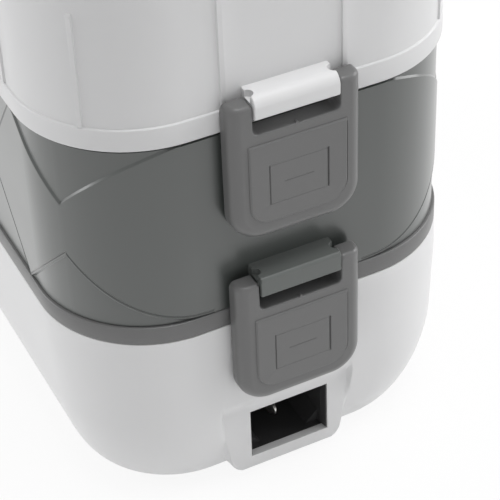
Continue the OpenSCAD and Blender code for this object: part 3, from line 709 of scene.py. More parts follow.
def drum(name: str, axis: Axis, centre: Point, radius: float, length: float, finish: Finish,
         sides: int = 48) -> bpy.types.Object:
    """A plain cylinder.

    Args:
        name: the piece's name.
        axis: the axis that it stands along.
        centre: its middle, in millimetres.
        radius: its radius, in millimetres.
        length: its length, in millimetres.
        finish: its finish.
        sides: number of its sides.

    Returns:
        The new object.
    """
    turn = Vector((0, 0, 1)).rotation_difference(Vector(axis.value)).to_matrix()
    points = []
    for z in (-length / 2, length / 2):
        for i in range(sides):
            a = 2 * pi * i / sides
            spot = turn @ Vector((radius * cos(a), radius * sin(a), z)) + Vector(centre)
            points.append(tuple(spot))
    return add_mesh(name, points, ring_faces(2, sides), finish)


# ---------------------------------------------------------------- walls round the box


def cut(low: float, high: float, steps: int) -> list[float]:
    """Even marks from low to high."""
    return [low + (high - low) * i / steps for i in range(steps + 1)]


def rounded_edge(inset: float, z: float, r: float, start: tuple[int, int], end: tuple[int, int],
                 steps: int = 3) -> list[Flat]:
    """Profile points round a small edge whose corner would be at (inset, z).

    Args:
        inset: the corner's inset.
        z: the corner's height.
        r: the edge's radius.
        start: the direction along the profile that arrives, as (inset, z) signs.
        end: the direction that leaves.
        steps: number of straight pieces.

    Returns:
        Points as (inset, z).
    """
    cx = inset - start[0] * r + end[0] * r
    cz = z - start[1] * r + end[1] * r
    marks = []
    for turn in cut(0, pi / 2, steps):
        marks.append((cx - end[0] * r * cos(turn) + start[0] * r * sin(turn),
                      cz - end[1] * r * cos(turn) + start[1] * r * sin(turn)))
    return marks


class Stretch(Enum):
    """The three stretches of a quarter of the box's outline."""

    END = 0
    CORNER = 1
    SIDE = 2


@dataclass(frozen=True)
class Station:
    """One column of points on the box's wall.

    Attributes:
        sx: side of its quarter along X.
        sy: side of its quarter along Y.
        stretch: the stretch of the quarter that it stands on.
        share: how far along the stretch, from the middle of the end or of the long side.
        s: distance from the middle of the end along the wall, in millimetres.
    """

    sx: int
    sy: int
    stretch: Stretch
    share: float
    s: float

    def spot(self, half_l: float, half_w: float, radius: float) -> tuple[float, float, float, float]:
        """Where the column meets a rounded rectangle, and which way the wall faces there.

        Args:
            half_l: half the rectangle's length.
            half_w: half its width.
            radius: its corners' radius.

        Returns:
            x, y and the outward normal's x and y.
        """
        straight_y = half_w - radius
        straight_x = half_l - radius
        if self.stretch is Stretch.END:
            return self.sx * half_l, self.sy * self.share * straight_y, self.sx, 0.0
        if self.stretch is Stretch.CORNER:
            turn = self.share * pi / 2
            return (self.sx * (straight_x + radius * cos(turn)), self.sy * (straight_y + radius * sin(turn)),
                    self.sx * cos(turn), self.sy * sin(turn))
        return self.sx * self.share * straight_x, self.sy * half_w, 0.0, self.sy


Along = Callable[[Station], float]


@dataclass(frozen=True)
class Outline:
    """The box's outline over the lid's skirt, in millimetres."""

    half_l: float
    half_w: float
    radius: float

    @property
    def corner_y(self) -> float:
        """Where the corner starts, from the middle of the end."""
        return self.half_w - self.radius

    @property
    def corner_x(self) -> float:
        """Where the corner starts, from the middle of the long side."""
        return self.half_l - self.radius

    @property
    def arc(self) -> float:
        """Length of a corner's arc."""
        return self.radius * pi / 2

    @property
    def quarter(self) -> float:
        """Distance from the middle of the end to the middle of the long side."""
        return self.corner_y + self.arc + self.corner_x

    def station(self, s: float, sx: int, sy: int) -> Station:
        """The column at a distance from the middle of the end.

        Args:
            s: the distance along the wall.
            sx: side of the quarter along X.
            sy: side of the quarter along Y.

        Returns:
            The column.
        """
        if s <= self.corner_y:
            return Station(sx, sy, Stretch.END, s / self.corner_y, s)
        if s <= self.corner_y + self.arc:
            return Station(sx, sy, Stretch.CORNER, (s - self.corner_y) / self.arc, s)
        return Station(sx, sy, Stretch.SIDE, (self.quarter - s) / self.corner_x, s)

    def around(self, distances: Iterable[float]) -> list[Station]:
        """Columns all the way round.

        Args:
            distances: a quarter's distances from the middle of the end.

        Returns:
            The four quarters' columns in order.
        """
        quarter = sorted(set(round(s, 3) for s in distances))
        back = quarter[::-1]
        loop = [self.station(s, 1, 1) for s in quarter]
        loop += [self.station(s, -1, 1) for s in back[1:]]
        loop += [self.station(s, -1, -1) for s in quarter[1:]]
        loop += [self.station(s, 1, -1) for s in back[1:-1]]
        return loop

    def spread(self, ends: float, corner: float, side: float) -> list[float]:
        """A quarter's distances at about the given pitches.

        Args:
            ends: pitch on the end, in millimetres.
            corner: pitch round the corner.
            side: pitch on the long side.

        Returns:
            Distances from the middle of the end.
        """
        first = int(self.corner_y / ends) + 1
        bend = int(self.arc / corner) + 1
        last = int(self.corner_x / side) + 1
        marks = [self.corner_y * i / first for i in range(first)]
        marks += [self.corner_y + self.arc * i / bend for i in range(bend)]
        marks += [self.corner_y + self.arc + self.corner_x * i / last for i in range(last + 1)]
        return marks


class Loft:
    """A wall through rows of columns round the box."""

    LEAST_R = 2.0

    def __init__(self, outline: Outline, columns: list[Station]) -> None:
        """Start an empty wall.

        Args:
            outline: the outline that insets are measured from.
            columns: the columns round it.
        """
        self.outline = outline
        self.columns = columns
        self.points: list[Point] = []
        self.rows = 0

    def row(self, inset: float, z: float | Along, out: Along | None = None) -> None:
        """Add a row at an inset from the outline.

        Args:
            inset: distance in from the outline, in millimetres.
            z: height, or a function of the column that gives it.
            out: a function of the column that gives a step outward.
        """
        self.slice((inset, inset, self.outline.radius - inset), z, out)

    def slice(self, shape: Point, z: float | Along, out: Along | None = None) -> None:
        """Add a row with its own insets and corner radius.

        Args:
            shape: the inset at the ends, the inset at the sides and the corners' radius, in millimetres.
            z: height, or a function of the column that gives it.
            out: a function of the column that gives a step outward.
        """
        end_inset, side_inset, radius = shape
        half_l, half_w = self.outline.half_l - end_inset, self.outline.half_w - side_inset
        for at in self.columns:
            x, y, nx, ny = at.spot(half_l, half_w, max(radius, self.LEAST_R))
            step = out(at) if out else 0.0
            height = z(at) if callable(z) else z
            self.points.append((x + nx * step, y + ny * step, height))
        self.rows += 1

    def build(self, name: str, finish: Finish, closed: bool = False,
              sharp: float = SHARP) -> bpy.types.Object:
        """Make the wall's object.

        Args:
            name: the piece's name.
            finish: its finish.
            closed: True joins the last row to the first, and False closes both ends with a flat face.
            sharp: edges that turn by more than this many degrees stay sharp.

        Returns:
            The new object.
        """
        faces = ring_faces(self.rows, len(self.columns), closed=closed)
        return add_mesh(name, self.points, faces, finish, sharp)


# ---------------------------------------------------------------- sizes from the frame


def node_box(node: str) -> tuple[Vector, Vector]:
    """A CAD node's corners in millimetres."""
    low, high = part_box(node)
    return low / MM, high / MM


@dataclass(frozen=True)
class BoxSizes:
    """Sizes that the sub-assemblies share, in millimetres.

    Attributes:
        half_l: half the length over the lid's skirt.
        half_w: half the width over the lid's skirt.
        z_base: the base shell's lower face.
        z_band: the seam between the base shell and the ring band.
        z_seam1: the seam between the ring band and the tier.
        z_seam2: the seam between the tier and the lid.
        z_top: the lid's top.
        wall: thickness of the moulded walls.
        corner_r: radius of the outline's corners.
        lid_step: how far the lid's wall stands in from its skirt.
        tier_step: how far the tier's wall stands in from the skirt.
        base_step: how far the base's wall stands in from the skirt.
        lip_inset: outer inset of the lips that centre the parts on one another.
        lip_inner: inner inset of those lips.
        ledge_inner: inner inset of the ledges that carry the liners.
    """

    half_l: float
    half_w: float
    z_base: float
    z_band: float
    z_seam1: float
    z_seam2: float
    z_top: float
    wall: float = 2.4
    corner_r: float = 33.0
    lid_step: float = 0.6
    tier_step: float = 0.8
    base_step: float = 0.4
    lip_inset: float = 3.5
    lip_inner: float = 5.1
    ledge_inner: float = 9.2

    @classmethod
    def from_frame(cls) -> "BoxSizes":
        """Take the main sizes from the CAD nodes.

        Returns:
            The sizes.
        """
        half_l = cls.base_step - node_box("base_ring")[0].x
        base_low, base_high = node_box("base_shell")
        tier_low, tier_high = node_box("tier_shell")
        lid_high = node_box("lid_shell")[1]
        return cls(half_l, lid_high.y, base_low.z, base_high.z, tier_low.z, tier_high.z, lid_high.z)

    @property
    def outline(self) -> Outline:
        """The outline over the lid's skirt."""
        return Outline(self.half_l, self.half_w, self.corner_r)


def finish_piece(piece: bpy.types.Object, body: str, replaced: str | None = None) -> None:
    """Tie a finished piece to its body and the CAD node that it stands for.

    Args:
        piece: the piece.
        body: the body that it moves with.
        replaced: the CAD node that it stands for, or None.
    """
    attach(piece, body)
    if replaced:
        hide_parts(replaced)
    log.info("%s: %d faces on %s", piece.name, len(piece.data.polygons), body)


# ---------------------------------------------------------------- base


@dataclass
class Base:
    """The white heated base: its shell with the inlet's flat block, and the ring band on top."""

    sizes: BoxSizes
    shell_pitch: Point = (4, 2.2, 8)  # of the columns on the end, round the corner and on the side
    shell_sharp: float = 38.0
    band_pitch: Point = (9, 2.2, 14)
    foot_round_v: float = 28.7  # height of the rounding at the foot
    foot_round_h: float = 9.2  # how far it draws in
    round_power: float = 1.65  # 2 would make it an ellipse
    draft_depth: float = 8.9  # the wall is upright this far below the band
    upright: float = 4.0  # and has a row half-way
    end_draft: float = 1.0  # what the ends draw in from there to the foot
    side_draft: float = 3.0
    corner_loss: float = 4.0  # what the corners' radius loses down to the foot
    corner_follow: float = 0.3  # share of the foot's rounding that it loses too
    rim: float = 0.35  # softened upper edge
    foot_edge: float = 0.8
    underside: float = 10.0  # inset of the last row under the foot
    inner_rows: tuple = (40, 31, 26, 18, 12, 8, 4.4)  # heights of the inside's rows
    inner_rim: float = 9.0  # and the first one's depth
    inlet_hw: float = 12.35  # half the opening's width, then its lower and upper edges
    inlet_low: float = 7.4
    inlet_high: float = 24.8
    line_gap: float = 0.25  # rows and columns that keep the block flat beside the opening
    hole_depth: float = 12.0
    hole_out: float = 5.0
    socket_wall: float = 2.0  # room for the socket behind the shell's wall
    socket_depth: float = 30.0
    block_back: float = 2.8  # the block's face stands this far in from the skirt
    block_hw: float = 18.2  # the flat block round the opening is this wide to each side
    block_more: float = 2.2  # and this much wider on the -Y side
    block_low: float = 3.1
    block_r: float = 3.2
    block_fade: float = 1.0  # width of its soft border
    block_rise: float = 1.5
    block_end: float = 7.0  # it has faded into the wall this far over the opening
    block_melt: float = 5.0  # height of that fade
    margin: float = 0.1
    pin_hw: float = 1.0  # half a pin's width and height
    pin_hh: float = 2.0
    pin_root: tuple = ((0, 0.3), (0.4, 0))  # distance from the root, and how far the pin draws in
    pin_tip: tuple = ((2.4, 0, 0), (1.5, 0.5, 0.3), (0.3, 0.66, 0.9), (0, 0.8, 1.4))  # and from the tip
    pin_sharp: float = 60.0
    line_back: float = 1.0  # the outer pins end this far behind the middle one
    screw_place: Flat = (62, 32)
    screw_hole: Flat = (3.3, 6.4)  # radius and length
    foot_place: Flat = (88, 27)
    foot_hole: Flat = (6.7, 1.6)
    band_edge: float = 0.5
    lip_h: float = 3.0  # the lip that centres the tier
    lip_edge: float = 0.4
    ledge_h: float = 2.8  # the ledge that carries the tray
    spigot_h: float = 3.0  # the band's rim inside the shell
    spigot_gap: float = 0.2

    @property
    def block_x(self) -> float:
        """The plane of the block round the inlet."""
        return self.sizes.half_l - self.block_back

    def profile(self, z: float) -> Point:
        """The shell's shape at a height.

        Args:
            z: the height, in millimetres.

        Returns:
            The inset at the ends, the inset at the sides and the corners' radius.
        """
        s = self.sizes
        height = s.z_band - s.z_base
        fall = max(s.z_band - self.draft_depth - z, 0) / (height - self.draft_depth)
        up = min(max((z - s.z_base) / self.foot_round_v, 0), 1)
        rise = (1 - up) ** (self.round_power / 2)
        inward = self.foot_round_h * (1 - max(1 - rise * rise, 0) ** (1 / self.round_power))
        gain = self.corner_loss * (z - s.z_base) / height
        radius = s.corner_r - self.corner_loss + gain - s.base_step - self.corner_follow * inward
        end, side = self.end_draft * fall, self.side_draft * fall
        return s.base_step + end + inward, s.base_step + side + inward, radius

    def shrunk(self, z: float, by: float) -> Point:
        """The shell's shape at a height, drawn in by some millimetres."""
        end, side, radius = self.profile(z)
        return end + by, side + by, radius - by

    def block_share(self, at: Station, z: float) -> float:
        """How much of the inlet's block shows at a place on the wall.

        Args:
            at: the column.
            z: the height, in millimetres.

        Returns:
            0 on the wall, 1 on the block and between them in its soft border.
        """
        if at.sx < 0 or at.stretch is not Stretch.END:
            return 0.0
        across = at.s - self.block_hw - (self.block_more if at.sy < 0 else 0) + self.block_r
        down = self.block_low + self.block_r - z
        past = hypot(across, down) if across > 0 and down > 0 else max(across, down)
        edge = min(max(1 - (past - self.block_r) / self.block_fade, 0), 1)
        high = min(max((self.inlet_high + self.block_end - z) / self.block_melt, 0), 1)
        return edge * edge * (3 - 2 * edge) * high * high * (3 - 2 * high)

    def columns(self) -> list[Station]:
        """The shell's columns, closer together round the inlet's block.

        Returns:
            The columns all the way round.
        """
        marks = self.sizes.outline.spread(*self.shell_pitch)
        fade_end = self.block_hw + self.block_more + self.block_fade + self.margin
        marks += cut(self.block_hw - self.block_r, fade_end, 22)
        marks += [self.inlet_hw, self.inlet_hw + self.line_gap, self.inlet_hw - 3]
        return self.sizes.outline.around(marks)

    def heights(self) -> list[float]:
        """Heights of the shell's outer rows.

        Returns:
            Heights in millimetres, from the foot up.
        """
        s = self.sizes
        heights = {round(s.z_base + self.foot_round_v * (1 - sin(a) ** (2 / self.round_power)), 2)
                   for a in cut(0, pi / 2, 16)}
        low, high = self.inlet_low, self.inlet_high
        fade_low = self.block_low - self.block_fade - self.margin
        heights |= set(cut(fade_low, self.block_low + self.block_r, 14))
        heights |= {low, low - self.line_gap, high, high + self.line_gap}
        heights |= set(cut(high + self.block_rise, high + self.block_end, 4))
        heights |= {s.z_band - self.draft_depth, s.z_band - self.upright, s.z_band - self.rim}
        return sorted(z for z in heights if z >= s.z_base)

    def cutters(self) -> list[bpy.types.Object]:
        """Make the solids that are cut out of the shell.

        Returns:
            The inlet's opening, the room for its socket, and the holes for screws and feet.
        """
        hw, low, high, room = self.inlet_hw, self.inlet_low, self.inlet_high, self.socket_wall
        face = self.block_x
        hole = solid_box("inlet_hole", (face - self.hole_depth, -hw, low),
                         (face + self.hole_out, hw, high), 0, Finish.WHITE)
        socket = solid_box("socket_room", (face - self.socket_depth, -hw - room, low - room),
                           (face - self.sizes.wall, hw + room, high + room), 0, Finish.WHITE)
        cutters = [hole, socket]
        for sx in (-1, 1):
            for sy in (-1, 1):
                for name, (x, y), (r, length) in (("screw_hole", self.screw_place, self.screw_hole),
                                                  ("foot_hole", self.foot_place, self.foot_hole)):
                    centre = (sx * x, sy * y, self.sizes.z_base)
                    cutters.append(drum(name, Axis.Z, centre, r, length, Finish.WHITE))
        return cutters

    def shell(self) -> None:
        """Build the shell, with the opening for the inlet."""
        s = self.sizes
        loft = Loft(s.outline, self.columns())
        loft.slice(self.shrunk(s.z_base, self.underside), s.z_base)
        loft.slice(self.shrunk(s.z_base, self.foot_edge), s.z_base)
        for z in self.heights():
            shape = self.profile(z)

            def step(at: Station, end: float = shape[0], z: float = z) -> float:
                """The step out to the inlet's block."""
                return self.block_share(at, z) * (self.block_x - (s.half_l - end))

            loft.slice(shape, z, step)
        loft.slice(self.shrunk(s.z_band, self.margin), s.z_band - self.margin)
        loft.slice(self.shrunk(s.z_band, self.rim), s.z_band)
        loft.slice(self.shrunk(s.z_band, s.wall), s.z_band)
        for z in (s.z_band - self.inner_rim, *self.inner_rows):
            loft.slice(self.shrunk(z, s.wall), max(z, s.z_base + s.wall))
        shell = loft.build("base_shell_dressed", Finish.WHITE, sharp=self.shell_sharp)
        carve(shell, self.cutters())
        smooth(shell, self.shell_sharp)
        finish_piece(shell, "base", "base_shell")

    def pins(self) -> None:
        """Build the inlet's three flat pins, with their tips tapered."""
        low, high = node_box("inlet_pins")
        spread = (high.y - low.y) / 2 - self.pin_hw
        line_z, earth_z = high.z - self.pin_hh, low.z + self.pin_hh
        line_tip = high.x - self.line_back
        points, faces = [], []
        for y, z, tip in ((-spread, line_z, line_tip), (spread, line_z, line_tip), (0, earth_z, high.x)):
            rings = [(low.x + front, pull, pull) for front, pull in self.pin_root]
            rings += [(tip - back, dy, dz) for back, dy, dz in self.pin_tip]
            faces += ring_faces(len(rings), 4, len(points))
            for x, dy, dz in rings:
                hw, hh = self.pin_hw - dy, self.pin_hh - dz
                points += [(x, y - hw, z - hh), (x, y + hw, z - hh)]
                points += [(x, y + hw, z + hh), (x, y - hw, z + hh)]
        pins = add_mesh("inlet_pins_dressed", points, faces, Finish.BRASS, self.pin_sharp)
        finish_piece(pins, "base", "inlet_pins")

    def band(self) -> None:
        """Build the grey ring band with its lips and its ledge."""
        s = self.sizes
        low, high = s.z_band, s.z_seam1
        top, foot, ledge = high + self.lip_h, low - self.spigot_h, low + self.ledge_h
        spigot_in, spigot_out = s.lip_inner + self.margin, s.base_step + s.wall + self.spigot_gap
        profile = rounded_edge(s.base_step, low, self.band_edge, (-1, 0), (0, 1))
        profile += rounded_edge(s.base_step, high, self.band_edge, (0, 1), (1, 0))
        profile += [(s.lip_inset, high)]
        profile += rounded_edge(s.lip_inset, top, self.lip_edge, (0, 1), (1, 0))
        profile += rounded_edge(s.lip_inner, top, self.lip_edge, (1, 0), (0, -1))
        profile += [(s.lip_inner, ledge), (s.ledge_inner, ledge), (s.ledge_inner, low)]
        profile += [(spigot_in, low), (spigot_in, foot), (spigot_out, foot), (spigot_out, low)]
        loft = Loft(s.outline, s.outline.around(s.outline.spread(*self.band_pitch)))
        for inset, z in profile:
            loft.row(inset, z)
        band = loft.build("base_ring_dressed", Finish.GREY, closed=True)
        finish_piece(band, "base", "base_ring")

    def build(self) -> None:
        """Build the base's own pieces."""
        self.shell()
        self.band()
        self.pins()


# ---------------------------------------------------------------- tier


@dataclass(frozen=True)
class BankRow:
    """One row of the bank between the belt and a sunk field.

    Attributes:
        past: distance past the belt's edge, in millimetres.
        share: how much of the field's depth it has.
        lined: whether it is the bottom of the fine line beside the bank.
    """

    past: float
    share: float = 0.0
    lined: bool = False


@dataclass
class Tier:
    """The grey middle tier, with fields sunk above and below a raised belt.

    The belt fills the end, narrows round the corner to a waist and crosses over and over on the long side.
    """

    sizes: BoxSizes
    pitch: Point = (3.3, 1.5, 4)  # of the columns on the end, round the corner and on the side
    sharp: float = 26.0
    depth: float = 0.55  # of the sunk fields
    bank: tuple = (BankRow(-0.85), BankRow(-0.48, 0, True), BankRow(-0.12), BankRow(0.05, 0.07),
                   BankRow(0.57, 0.93), BankRow(0.72, 1))
    line_d: float = 0.3  # depth of the fine line beside the bank
    start_h: float = 0.6  # a field sinks fully where it is this high
    row_gap: float = 0.02  # keeps the bank's rows below the edge where the belt fills the height
    row_pitch: float = 0.004
    knot_gap: float = 0.4  # columns this far to each side of a bend keep it crisp
    edge: float = 0.3
    reveal_h: float = 1.1  # the dark gap under the lid's skirt
    reveal_d: float = 1.0
    reveal_slant: float = 0.1
    belt_start: float = 22.0  # this and the places below are measured along the wall
    belt_drop: float = 0.4
    waist_s: float = 63.3
    waist_h: float = 8.0  # half the belt's height at its waist
    peak_s: float = 85.3
    cross_s: float = 107.0
    cross_pitch: float = 52.8
    cross_h: float = 1.0  # and where its edges cross
    upper_ledge: float = 3.9  # how far the liner's ledges stand from the tier's edges
    lower_ledge: float = 3.4
    ledge_t: float = 2.0
    reach: float = 0.05  # half the distance over which a slope is measured

    @property
    def full(self) -> float:
        """Half the tier's height."""
        return (self.sizes.z_seam2 - self.sizes.z_seam1) / 2

    def belt_half(self, s: float) -> float:
        """Half the belt's height.

        Args:
            s: distance from the middle of the end along the wall, in millimetres.

        Returns:
            The height, which can be more than half the tier's.
        """
        full = self.full
        if s <= self.belt_start:
            return full
        if s <= self.waist_s:
            share = (s - self.belt_start) / (self.waist_s - self.belt_start)
            return full - self.belt_drop - (full - self.belt_drop - self.waist_h) * share * share
        if s <= self.peak_s:
            return self.waist_h + (full - self.waist_h) * (s - self.waist_s) / (self.peak_s - self.waist_s)
        if s <= self.cross_s:
            return full + (self.cross_h - full) * (s - self.peak_s) / (self.cross_s - self.peak_s)
        share = (s - self.cross_s) / self.cross_pitch % 1.0
        return self.cross_h + (full - self.cross_h) * (1 - abs(2 * share - 1))

    def belt(self, at: Station) -> float:
        """The belt's half height at a column, within the tier."""
        return min(self.belt_half(at.s), self.full)

    def slope(self, s: float) -> float:
        """Height that a step across the belt's edge takes, for each millimetre of the step."""
        rise = self.belt_half(s + self.reach) - self.belt_half(s - self.reach)
        return hypot(1, rise / (2 * self.reach))

    def sunk(self, at: Station) -> float:
        """The step into the field at a column, which is nothing where the belt fills the height."""
        return -self.depth * min(max((self.full - self.belt(at)) / self.start_h, 0), 1)

    def add_bank(self, loft: Loft, side: int, row: BankRow) -> None:
        """Add one row of the bank.

        Args:
            loft: the tier's wall.
            side: 1 for the fields above the belt and -1 for those below.
            row: the row.
        """
        middle = (self.sizes.z_seam2 + self.sizes.z_seam1) / 2
        room = self.reveal_h if side > 0 else self.edge
        most = self.full - room - self.row_gap + self.row_pitch * row.past

        def height(at: Station) -> float:
            """The row's height at a column; its distance from the belt is measured across the edge."""
            return middle + side * min(self.belt(at) + row.past * self.slope(at.s), most)

        def step(at: Station) -> float:
            """The row's step at a column; the fine line runs beside most of the bank."""
            line = self.line_d / self.depth if row.lined and (side < 0 or at.s > self.peak_s) else 0.0
            return (row.share + line) * self.sunk(at)

        loft.row(self.sizes.tier_step, height, step)

    def build(self) -> None:
        """Build the tier's shell."""
        s = self.sizes
        step, edge, low, high = s.tier_step, self.edge, s.z_seam1, s.z_seam2
        marks = s.outline.spread(*self.pitch)
        crossings = cut(self.cross_s, self.cross_s + self.cross_pitch, 2)
        for knot in (self.belt_start, self.waist_s, self.peak_s, *crossings, s.outline.quarter):
            marks += [knot - self.knot_gap, knot, knot + self.knot_gap]
        loft = Loft(s.outline, s.outline.around(m for m in marks if 0 <= m <= s.outline.quarter))
        loft.row(step + edge, low, self.sunk)
        loft.row(step, low + edge, self.sunk)
        for row in self.bank[::-1]:
            self.add_bank(loft, -1, row)
        loft.row(step, (high + low) / 2)
        for row in self.bank:
            self.add_bank(loft, 1, row)
        reveal = high - self.reveal_h
        loft.row(step, reveal, self.sunk)
        inner, upper, lower = step + s.wall, high - self.upper_ledge, low + self.lower_ledge
        for inset, z in ((step + self.reveal_d, reveal + self.reveal_slant), (step + self.reveal_d, high),
                         (inner, high), (inner, upper), (s.ledge_inner, upper),
                         (s.ledge_inner, upper - self.ledge_t), (inner, upper - self.ledge_t),
                         (inner, lower + self.ledge_t), (s.ledge_inner, lower + self.ledge_t),
                         (s.ledge_inner, lower), (inner, lower), (inner, low)):
            loft.row(inset, z)
        shell = loft.build("tier_shell_dressed", Finish.TIER, closed=True, sharp=self.sharp)
        keep_flat(shell)
        finish_piece(shell, "tier", "tier_shell")


# ---------------------------------------------------------------- lid


@dataclass
class Lid:
    """The white lid, with its skirt, its upright ribs and the pocket for the handle."""

    sizes: BoxSizes
    pitch: Point = (6, 2.2, 8)  # of the columns on the end, round the corner and on the side
    skirt_h: float = 6.3
    skirt_edge: float = 0.35
    top_r: float = 14.0
    top_flat: float = 1.2  # inset of the first flat row inside the top's rounding
    rib_w: float = 1.5
    rib_up: float = 0.55
    rib_side: float = 0.12  # half the width of a rib's slanted side
    rib_foot: float = 0.12
    rib_end: float = 6.8  # the ribs end this far below the top's rounding
    rib_fade: float = 6.0
    rib_marks: tuple = (16.9, 53.8, 84.6, 115.2, 145.8)  # distances from the middle of the end
    lip_d: float = 2.7
    ledge_t: float = 2.0
    pocket_hl: float = 60.0  # half the length of the handle's pocket
    pocket_back: float = 7.0
    pocket_front: float = 43.0
    pocket_d: float = 11.0
    pocket_edge: float = 2.5
    tub_edge: float = 1.5
    tub_top: float = 1.2  # the pocket's walls end this far below the top
    vent_x: float = 84.0
    vent_r: float = 6.3
    vent_d: float = 1.8
    vent_l: float = 10.0
    vent_way_r: float = 4.0
    vent_way_l: float = 20.0
    cut_above: float = 9.0
    edge: float = 0.7
    edge_angle: float = 62.0

    @property
    def shoulder(self) -> float:
        """Where the top's rounding starts."""
        return self.sizes.z_top - self.top_r

    def rib(self, at: Station) -> float:
        """The step out over a rib at a column."""
        near = min(abs(at.s - mark) for mark in self.rib_marks)
        return self.rib_up if near < self.rib_w / 2 else 0.0

    def outside(self, loft: Loft) -> None:
        """Add the outer rows: the skirt, the ribbed wall and the rounded top.

        Args:
            loft: the wall that they are added to.
        """
        s = self.sizes
        skirt_top = s.z_seam2 + self.skirt_h
        for inset, z in (*rounded_edge(0, s.z_seam2, self.skirt_edge, (-1, 0), (0, 1)),
                         *rounded_edge(0, skirt_top, self.skirt_edge, (0, 1), (1, 0))):
            loft.row(inset, z)
        loft.row(s.lid_step, skirt_top + self.rib_foot, self.rib)
        loft.row(s.lid_step, self.shoulder - self.rib_end, self.rib)
        loft.row(s.lid_step, self.shoulder - self.rib_fade)
        for a in cut(0, pi / 2, 12):
            loft.row(s.lid_step + self.top_r * (1 - cos(a)), self.shoulder + self.top_r * sin(a))
        loft.row(s.lid_step + self.top_r + self.top_flat, s.z_top)

    def inside(self, loft: Loft) -> None:
        """Add the inner rows: the lip, the liner's ledge and the inside of the top.

        Args:
            loft: the wall that they are added to.
        """
        s = self.sizes
        seam, inner = s.z_seam2, s.lid_step + s.wall
        drop, ledge = seam - self.lip_d, seam + self.ledge_t
        for inset, z in ((self.skirt_edge, seam), (s.lip_inset, seam), (s.lip_inset, drop),
                         (s.lip_inner, drop), (s.lip_inner, seam), (s.ledge_inner, seam),
                         (s.ledge_inner, ledge), (inner, ledge), (inner, self.shoulder)):
            loft.row(inset, z)
        radius = self.top_r - s.wall
        for a in cut(0, pi / 2, 6)[1:]:
            loft.row(inner + radius * (1 - cos(a)), self.shoulder + radius * sin(a))

    def shell(self) -> bpy.types.Object:
        """Build the closed shell, without its pocket and vent.

        Returns:
            The new object.
        """
        outline = self.sizes.outline
        marks = outline.spread(*self.pitch)
        for rib in self.rib_marks:
            for side in (rib - self.rib_w / 2, rib + self.rib_w / 2):
                marks += [side - self.rib_side, side + self.rib_side]
        columns = outline.around(m for m in marks if m <= outline.quarter)
        outer, inner = Loft(outline, columns), Loft(outline, columns)
        self.outside(outer)
        self.inside(inner)
        outer_faces = ring_faces(outer.rows, len(columns))
        inner_faces = ring_faces(inner.rows, len(columns), len(outer.points))
        faces = outer_faces[:-2] + outer_faces[-1:] + inner_faces[:-2] + inner_faces[-1:]
        return add_mesh("lid_shell_dressed", outer.points + inner.points, faces, Finish.LID)

    def build(self) -> None:
        """Build the lid's shell, and carve the handle's pocket and the vent's way into it."""
        top, hl, back, front = self.sizes.z_top, self.pocket_hl, self.pocket_back, self.pocket_front
        wall, floor = self.sizes.wall, top - self.pocket_d
        shell = self.shell()
        tub = solid_box("tub", (-hl - wall, -back - wall, floor - wall),
                        (hl + wall, front + wall, top - self.tub_top), self.tub_edge, Finish.LID)
        carve(shell, [tub], Carving.JOIN)
        pocket = solid_box("pocket", (-hl, -back, floor), (hl, front, top + self.cut_above),
                           self.pocket_edge, Finish.LID, 5)
        recess = (self.vent_x, 0, top - self.vent_d + self.vent_l / 2)
        vent = drum("vent", Axis.Z, recess, self.vent_r, self.vent_l, Finish.LID, 64)
        way = drum("vent_way", Axis.Z, (self.vent_x, 0, top), self.vent_way_r, self.vent_way_l, Finish.LID)
        carve(shell, [pocket, vent, way])
        bevel(shell, self.edge, self.edge_angle)
        apply_modifiers(shell)
        smooth(shell, SHARP)
        finish_piece(shell, "lid", "lid_shell")


# ---------------------------------------------------------------- latches


def eased(x: float, face: float, r: float) -> float:
    """How far an outline has drawn in at a depth, where its front edge is rounded.

    Args:
        x: the depth.
        face: the depth of the front.
        r: the edge's radius.

    Returns:
        0 behind the rounding and r at the front.
    """
    ahead = max(x - face + r, 0)
    return r - max(r ** 2 - ahead ** 2, 0) ** 0.5


